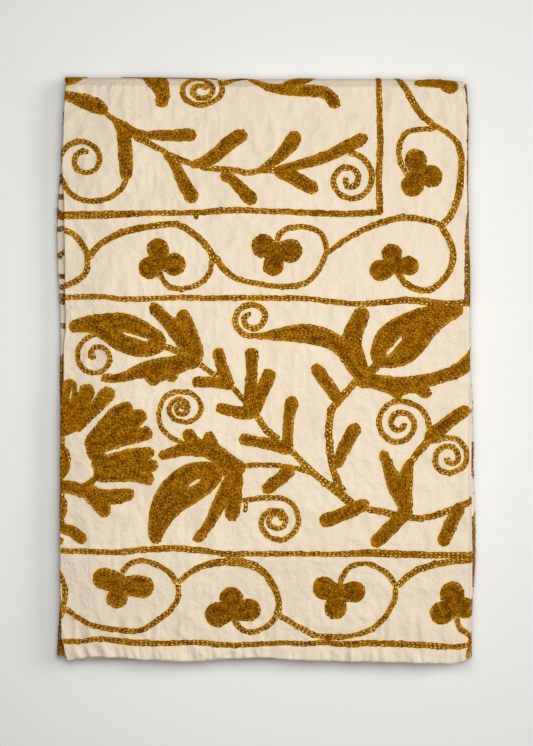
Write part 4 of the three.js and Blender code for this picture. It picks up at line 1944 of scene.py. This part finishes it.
@dataclass
class Embroidery:
    """The chain stitches of one region, sewn onto the folded sheet as one piece."""

    packet: Packet
    region: Region
    stitches: np.ndarray
    loop: ChainLoop = field(default_factory=ChainLoop)
    sheet_face: float = 0.35
    seed: int = 5
    uneven_lift: float = 0.08
    uneven_dye: float = 0.26
    # The share of a loop's greatest height where its painted shade ends
    shade_ends_share: float = 0.95
    # 1 where a stitch's left is the cloth's left too, and -1 on the pattern sheet, whose y runs down
    left_hand: int = -1

    def build(self) -> bpy.types.Object:
        """Builds the joined loops on the sheet's face.

        Returns:
            The piece.
        """
        packed, faces, twist = self.loop.model(self.loop.packed_yarn)
        opened, _, _ = self.loop.model(self.loop.open_yarn)
        x, y, heading, length, width, openness, _ = (self.stitches[:, column, None] for column in Column)
        model = packed + (opened - packed) * openness[:, :, None]
        along = model[:, :, 0] * length * self.loop.overlap
        across = model[:, :, 1] * width * self.left_hand
        place_x = x + np.cos(heading) * along - np.sin(heading) * across
        place_y = y + np.sin(heading) * along + np.cos(heading) * across
        u, strip = self.on_cloth(place_x, place_y)
        return self.sew(u, strip, model[:, :, 2], faces, twist)

    def on_cloth(self, x: np.ndarray, y: np.ndarray) -> tuple[np.ndarray, np.ndarray]:
        """Where places of the stitches lie across and along the flat cloth."""
        return self.packet.from_pattern(x, y)

    def sew(
        self, u: np.ndarray, strip: np.ndarray, height: np.ndarray, faces: np.ndarray, twist: np.ndarray
    ) -> bpy.types.Object:
        """Lays the loops' points on the cloth and joins them in one mesh.

        Args:
            u: The points' distance across the cloth, one row a loop.
            strip: Their distance along it.
            height: Their height above it.
            faces: The faces of one loop.
            twist: Its corners' places along and around the yarn.

        Returns:
            The piece.
        """
        count, size = u.shape
        draw = np.random.default_rng(self.seed)
        lift = height * draw.normal(1.0, self.uneven_lift, (count, 1)) + self.sheet_face
        points = self.packet.surface(u.ravel(), strip.ravel(), lift.ravel())
        offsets = np.arange(count)[:, None, None] * size
        piece = new_piece(f"embroidery_{self.region.value}", points, [(faces[None] + offsets).reshape(-1, 4)])
        give_map(piece, "yarn", np.tile(twist.reshape(-1, 2), (count, 1)))
        dye = self.stitches[:, Column.DYE] + draw.normal(0.0, self.uneven_dye, count)
        give_numbers(piece, "dye", np.repeat(dye, size))
        # Painted shade mask: 0 at the foot of each loop, 1 near its top
        give_numbers(piece, "out_of_crevice_shade", smooth(height, 0.0, height.max() * self.shade_ends_share).ravel())
        return piece


@dataclass
class FoldEmbroidery(Embroidery):
    """Stitches that are set out on the flat cloth itself, for the folds of the lower plies."""

    left_hand: int = 1

    def on_cloth(self, x: np.ndarray, y: np.ndarray) -> tuple[np.ndarray, np.ndarray]:
        """The same places: they are across and along the flat cloth already."""
        return x, y


@dataclass
class FoldPlan:
    """The stitches that show on the folds: the side line, the cloth's other end and its field's middle.

    The marks of its lines are across and along the flat cloth, those at the left fold from its other end.
    """

    packet: Packet
    plan: StitchPlan
    near_fold: float = 9.0
    side_line: tuple[Mark, ...] = (
        (404.5, 357, 6), (405.5, 398, 6), (407.5, 434, 6), (409.4, 455, 5), (409.6, 478, 5), (408.4, 490, 5),
        (409.8, 506, 5), (408.2, 523, 5), (409.2, 532, 5), (407.8, 539, 5), (410, 552, 5), (408.3, 561, 5),
        (409.8, 569, 5), (408, 576, 5),
    )
    middle_line: tuple[Mark, ...] = (
        (411, 640, 5), (411, 1225, 5), (406.5, 1240, 5), (410.5, 1248, 5), (406.5, 1256, 5), (411, 1264, 5),
        (406.5, 1275, 5), (406, 1290, 5), (407, 1306, 5), (411, 1316, 5), (411, 1345, 5), (407, 1357, 5),
        (407, 1383, 5), (411, 1393, 5), (411, 1680, 5),
    )
    left_dashes: tuple[tuple[Mark, ...], ...] = (
        ((-3.5, 3, 8), (-3, 10, 8.5), (-2.5, 16, 8)), ((-9, 9, 11), (4, 10, 11)),
        ((-1.8, 22, 3.8), (-1.2, 50, 3.8), (-1.8, 84, 3.8)),
        ((-1.0, 274, 6), (-2.5, 288, 7), (-1.5, 304, 6)), ((5, 334, 6), (-9, 334, 6)),
        ((5, 361, 11), (-9, 361, 11)), ((5, 383.5, 5), (-9, 383.5, 5)), ((5, 400, 5), (-9, 409, 5)),
        ((5, 453, 6), (-9, 441, 6)), ((5, 463.5, 6), (-9, 463.5, 6)), ((-1.4, 537, 5), (-1.6, 552, 6)),
    )
    dash_open: float = 0.2
    # A darker dye for the dashes, as painted shade on the lower plies' left fold
    dash_shade_dye: float = 0.26
    # Where the field's design starts along the cloth, the length of its repeat and the number of its copies
    field_from: float = 452.0
    field_step: float = 139.0
    field_copies: int = 8
    # How far copies show each side of the centre fold and past the outer bend, and how far short of the outer
    # fold the other end's stitches stop
    front_reach: float = 16.0
    back_reach: float = 6.0
    outer_fold_reach: float = 20.0

    def flat(self, stitches: np.ndarray) -> np.ndarray:
        """Stitches from the pattern sheet, set out on the flat cloth."""
        u, strip = self.packet.from_pattern(stitches[:, Column.X], stitches[:, Column.Y])
        return np.column_stack([u, strip, -stitches[:, Column.HEADING], stitches[:, Column.LENGTH:]])

    def border_line(self) -> np.ndarray:
        """The border's side line along the right fold, and the short runs at the left one.

        Returns:
            One row a stitch.
        """
        total = self.packet.lengthwise.length()

        def from_far_end(marks: Iterable[Mark]) -> tuple[Mark, ...]:
            """Marks with their places along the cloth taken from its other end."""
            return tuple((u, total - strip, width) for u, strip, width in marks)

        side = (*self.side_line, *self.middle_line, *from_far_end(reversed(self.side_line)))
        rows = [self.plan.follow(Stroke(side))]
        for marks in self.left_dashes:
            dash = self.plan.follow(Stroke(from_far_end(marks)))
            # Painted shade: the dashes on the lower plies' left fold get a darker dye
            dash[:, Column.OPENNESS:] = self.dash_open, self.dash_shade_dye
            rows.append(dash)
        return np.vstack(rows)

    def other_end(self, stitches: np.ndarray) -> np.ndarray:
        """What the cloth's other end shows at its folded sides: the same design turned about.

        Args:
            stitches: The stitches of the whole top, on the flat cloth.

        Returns:
            One row a stitch.
        """
        u, strip = stitches[:, Column.X], stitches[:, Column.Y]
        beside = (u < self.near_fold) | (u > self.packet.width - self.near_fold)
        turned = stitches[beside & (strip < self.packet.length - self.outer_fold_reach)].copy()
        turned[:, Column.Y] = self.packet.lengthwise.length() - turned[:, Column.Y]
        turned[:, Column.HEADING] *= -1
        return turned

    def field(self, stitches: np.ndarray) -> np.ndarray:
        """The field's design, repeated along the cloth's middle, where it shows on a fold.

        Args:
            stitches: The stitches of the field's top, on the flat cloth.

        Returns:
            One row a stitch.
        """
        legs = self.packet.lengthwise.legs()
        outer, second = legs[FoldedLine.OUTER_BEND], legs[FoldedLine.SECOND_RUN]
        centre = legs[FoldedLine.CENTRE_BEND]
        start, end = self.field_from, self.field_from + self.field_step
        once = stitches[(stitches[:, Column.Y] > start) & (stitches[:, Column.Y] < end)]
        copies = []
        for step in range(1, self.field_copies + 1):
            moved = once.copy()
            moved[:, Column.Y] += step * self.field_step
            along = moved[:, Column.Y]
            front = np.abs(along - centre.start - centre.length / 2) < self.front_reach
            back = (along > outer.start + outer.length / 2) & (along < second.start + self.back_reach)
            left = moved[:, Column.X] < self.near_fold
            copies.append(moved[front | back | left])
        return np.vstack(copies)

    def stitches(self, top: np.ndarray, field_top: np.ndarray) -> np.ndarray:
        """All of them.

        Args:
            top: The stitches of the whole pattern sheet.
            field_top: Those of its field.

        Returns:
            One row a stitch, on the flat cloth.
        """
        rows = (self.border_line(), self.other_end(self.flat(top)), self.field(self.flat(field_top)))
        return self.plan.unsettled(np.vstack(rows))


@dataclass(frozen=True)
class Lamp:
    """A square soft lamp that points at the packet. Sizes are in metres."""

    name: str
    place: tuple[float, float, float]
    size: float
    power: float

    def build(self) -> bpy.types.Object:
        """Sets the lamp up, out of the camera's sight.

        Returns:
            The lamp.
        """
        light = bpy.data.lights.new(self.name, "AREA")
        light.size = self.size
        light.energy = self.power
        lamp = bpy.data.objects.new(self.name, light)
        lamp.location = self.place
        x, y, z = self.place
        lamp.rotation_euler = (math.atan2(math.hypot(x, y), z), 0.0, math.atan2(x, -y))
        lamp.visible_camera = False
        bpy.context.collection.objects.link(lamp)
        return lamp


@dataclass(frozen=True)
class Studio:
    """A plain pale floor, soft light from above and the right, and the view from straight above."""

    floor_size: float = 8.0
    floor_colour: Colour = (0.83, 0.83, 0.8, 1.0)
    floor_roughness: float = 0.8
    camera_height: float = 2.2
    sensor: float = 24.0
    fill_colour: Colour = (1.0, 0.985, 0.965, 1.0)
    fill_strength: float = 0.1
    lamps: tuple[Lamp, ...] = (
        Lamp("key", (2.2, 0.6, 1.6), 1.2, 30.0),
        Lamp("overhead", (0.1, 0.2, 3.2), 1.2, 34.0),
        Lamp("pool", (0.03, 0.03, 0.75), 0.4, 2.7),
    )

    def build(self, packet: Packet) -> bpy.types.Object:
        """Sets up the camera, floor and lights.

        Args:
            packet: The packet to look at.

        Returns:
            The floor.
        """
        scene = bpy.context.scene
        scene.view_settings.view_transform = "Standard"
        view = bpy.data.cameras.new("photo_view")
        view.sensor_fit = "VERTICAL"
        view.sensor_height = self.sensor
        view.lens = self.sensor * self.camera_height / (SHEET_HEIGHT * MM)
        camera = bpy.data.objects.new("photo_view", view)
        right = (SHEET_MIDDLE[0] - PACKET_MIDDLE[0] + packet.centring[0]) * MM
        up = (PACKET_MIDDLE[1] - SHEET_MIDDLE[1] + packet.centring[1]) * MM
        camera.location = (right, up, self.camera_height + packet.height * MM)
        bpy.context.collection.objects.link(camera)
        scene.camera = camera

        world = bpy.data.worlds.new("soft_fill")
        world.use_nodes = True
        sky = NodeSheet(world.node_tree)
        sky.put(world.node_tree.nodes["Background"], Color=self.fill_colour, Strength=self.fill_strength)
        scene.world = world

        for lamp in self.lamps:
            lamp.build()

        bpy.ops.object.select_all(action="DESELECT")
        bpy.ops.mesh.primitive_plane_add(size=self.floor_size)
        floor = bpy.context.object
        floor.name = "floor"
        paint, paint_nodes, shader = new_finish("pale_floor")
        paint_nodes.put(shader, Base_Color=self.floor_colour, Roughness=self.floor_roughness)
        floor.data.materials.append(paint)
        return floor


def plan_regions(packet: Packet) -> dict[Region, np.ndarray]:
    """The chain stitches of every region, filled shapes first.

    Args:
        packet: The packet that they are sewn on.

    Returns:
        One row a stitch, on the pattern sheet, or on the flat cloth for those of the folds.
    """
    plan = StitchPlan(seed=11)
    filled = {pattern.region: [plan.fill(shape) for shape in pattern.fills] for pattern in PATTERNS}
    for pattern in PATTERNS:
        filled[pattern.region].extend(plan.free(plan.follow(stroke)) for stroke in pattern.lines)
    planned = {region: plan.unsettled(np.vstack(rows)) for region, rows in filled.items()}
    whole = np.vstack(list(planned.values()))
    planned[Region.FOLDS] = FoldPlan(packet, plan).stitches(whole, planned[Region.FIELD])
    return planned


def main() -> None:
    """Builds the studio, the sheet and the embroidery, logs their faces, hides the CAD part and hangs the
    pieces on the root.
    """
    logging.basicConfig(level=logging.INFO, format="%(message)s")
    packet = Packet()
    floor = Studio().build(packet)

    fills = [shape for pattern in PATTERNS for shape in pattern.fills]
    lines = [stroke for pattern in PATTERNS for stroke in pattern.lines]
    sheet = ClothSheet(packet).build(fills, lines)
    sheet.data.materials.append(CottonFinish().material())
    LOG.info("%s: %d faces", sheet.name, len(sheet.data.polygons))

    wool = WoolFinish().material()
    sewn = []
    for region, stitches in plan_regions(packet).items():
        sewing = FoldEmbroidery if region is Region.FOLDS else Embroidery
        piece = sewing(packet, region, stitches).build()
        piece.data.materials.append(wool)
        sewn.append(piece)
        LOG.info("%s: %d stitches, %d faces", piece.name, len(stitches), len(piece.data.polygons))

    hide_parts("folded_tablecloth")
    for piece in (sheet, *sewn):
        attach(piece, "root")
    flat = (packet.across.length() * MM, packet.lengthwise.length() * MM)


if __name__ == "__main__":
    main()
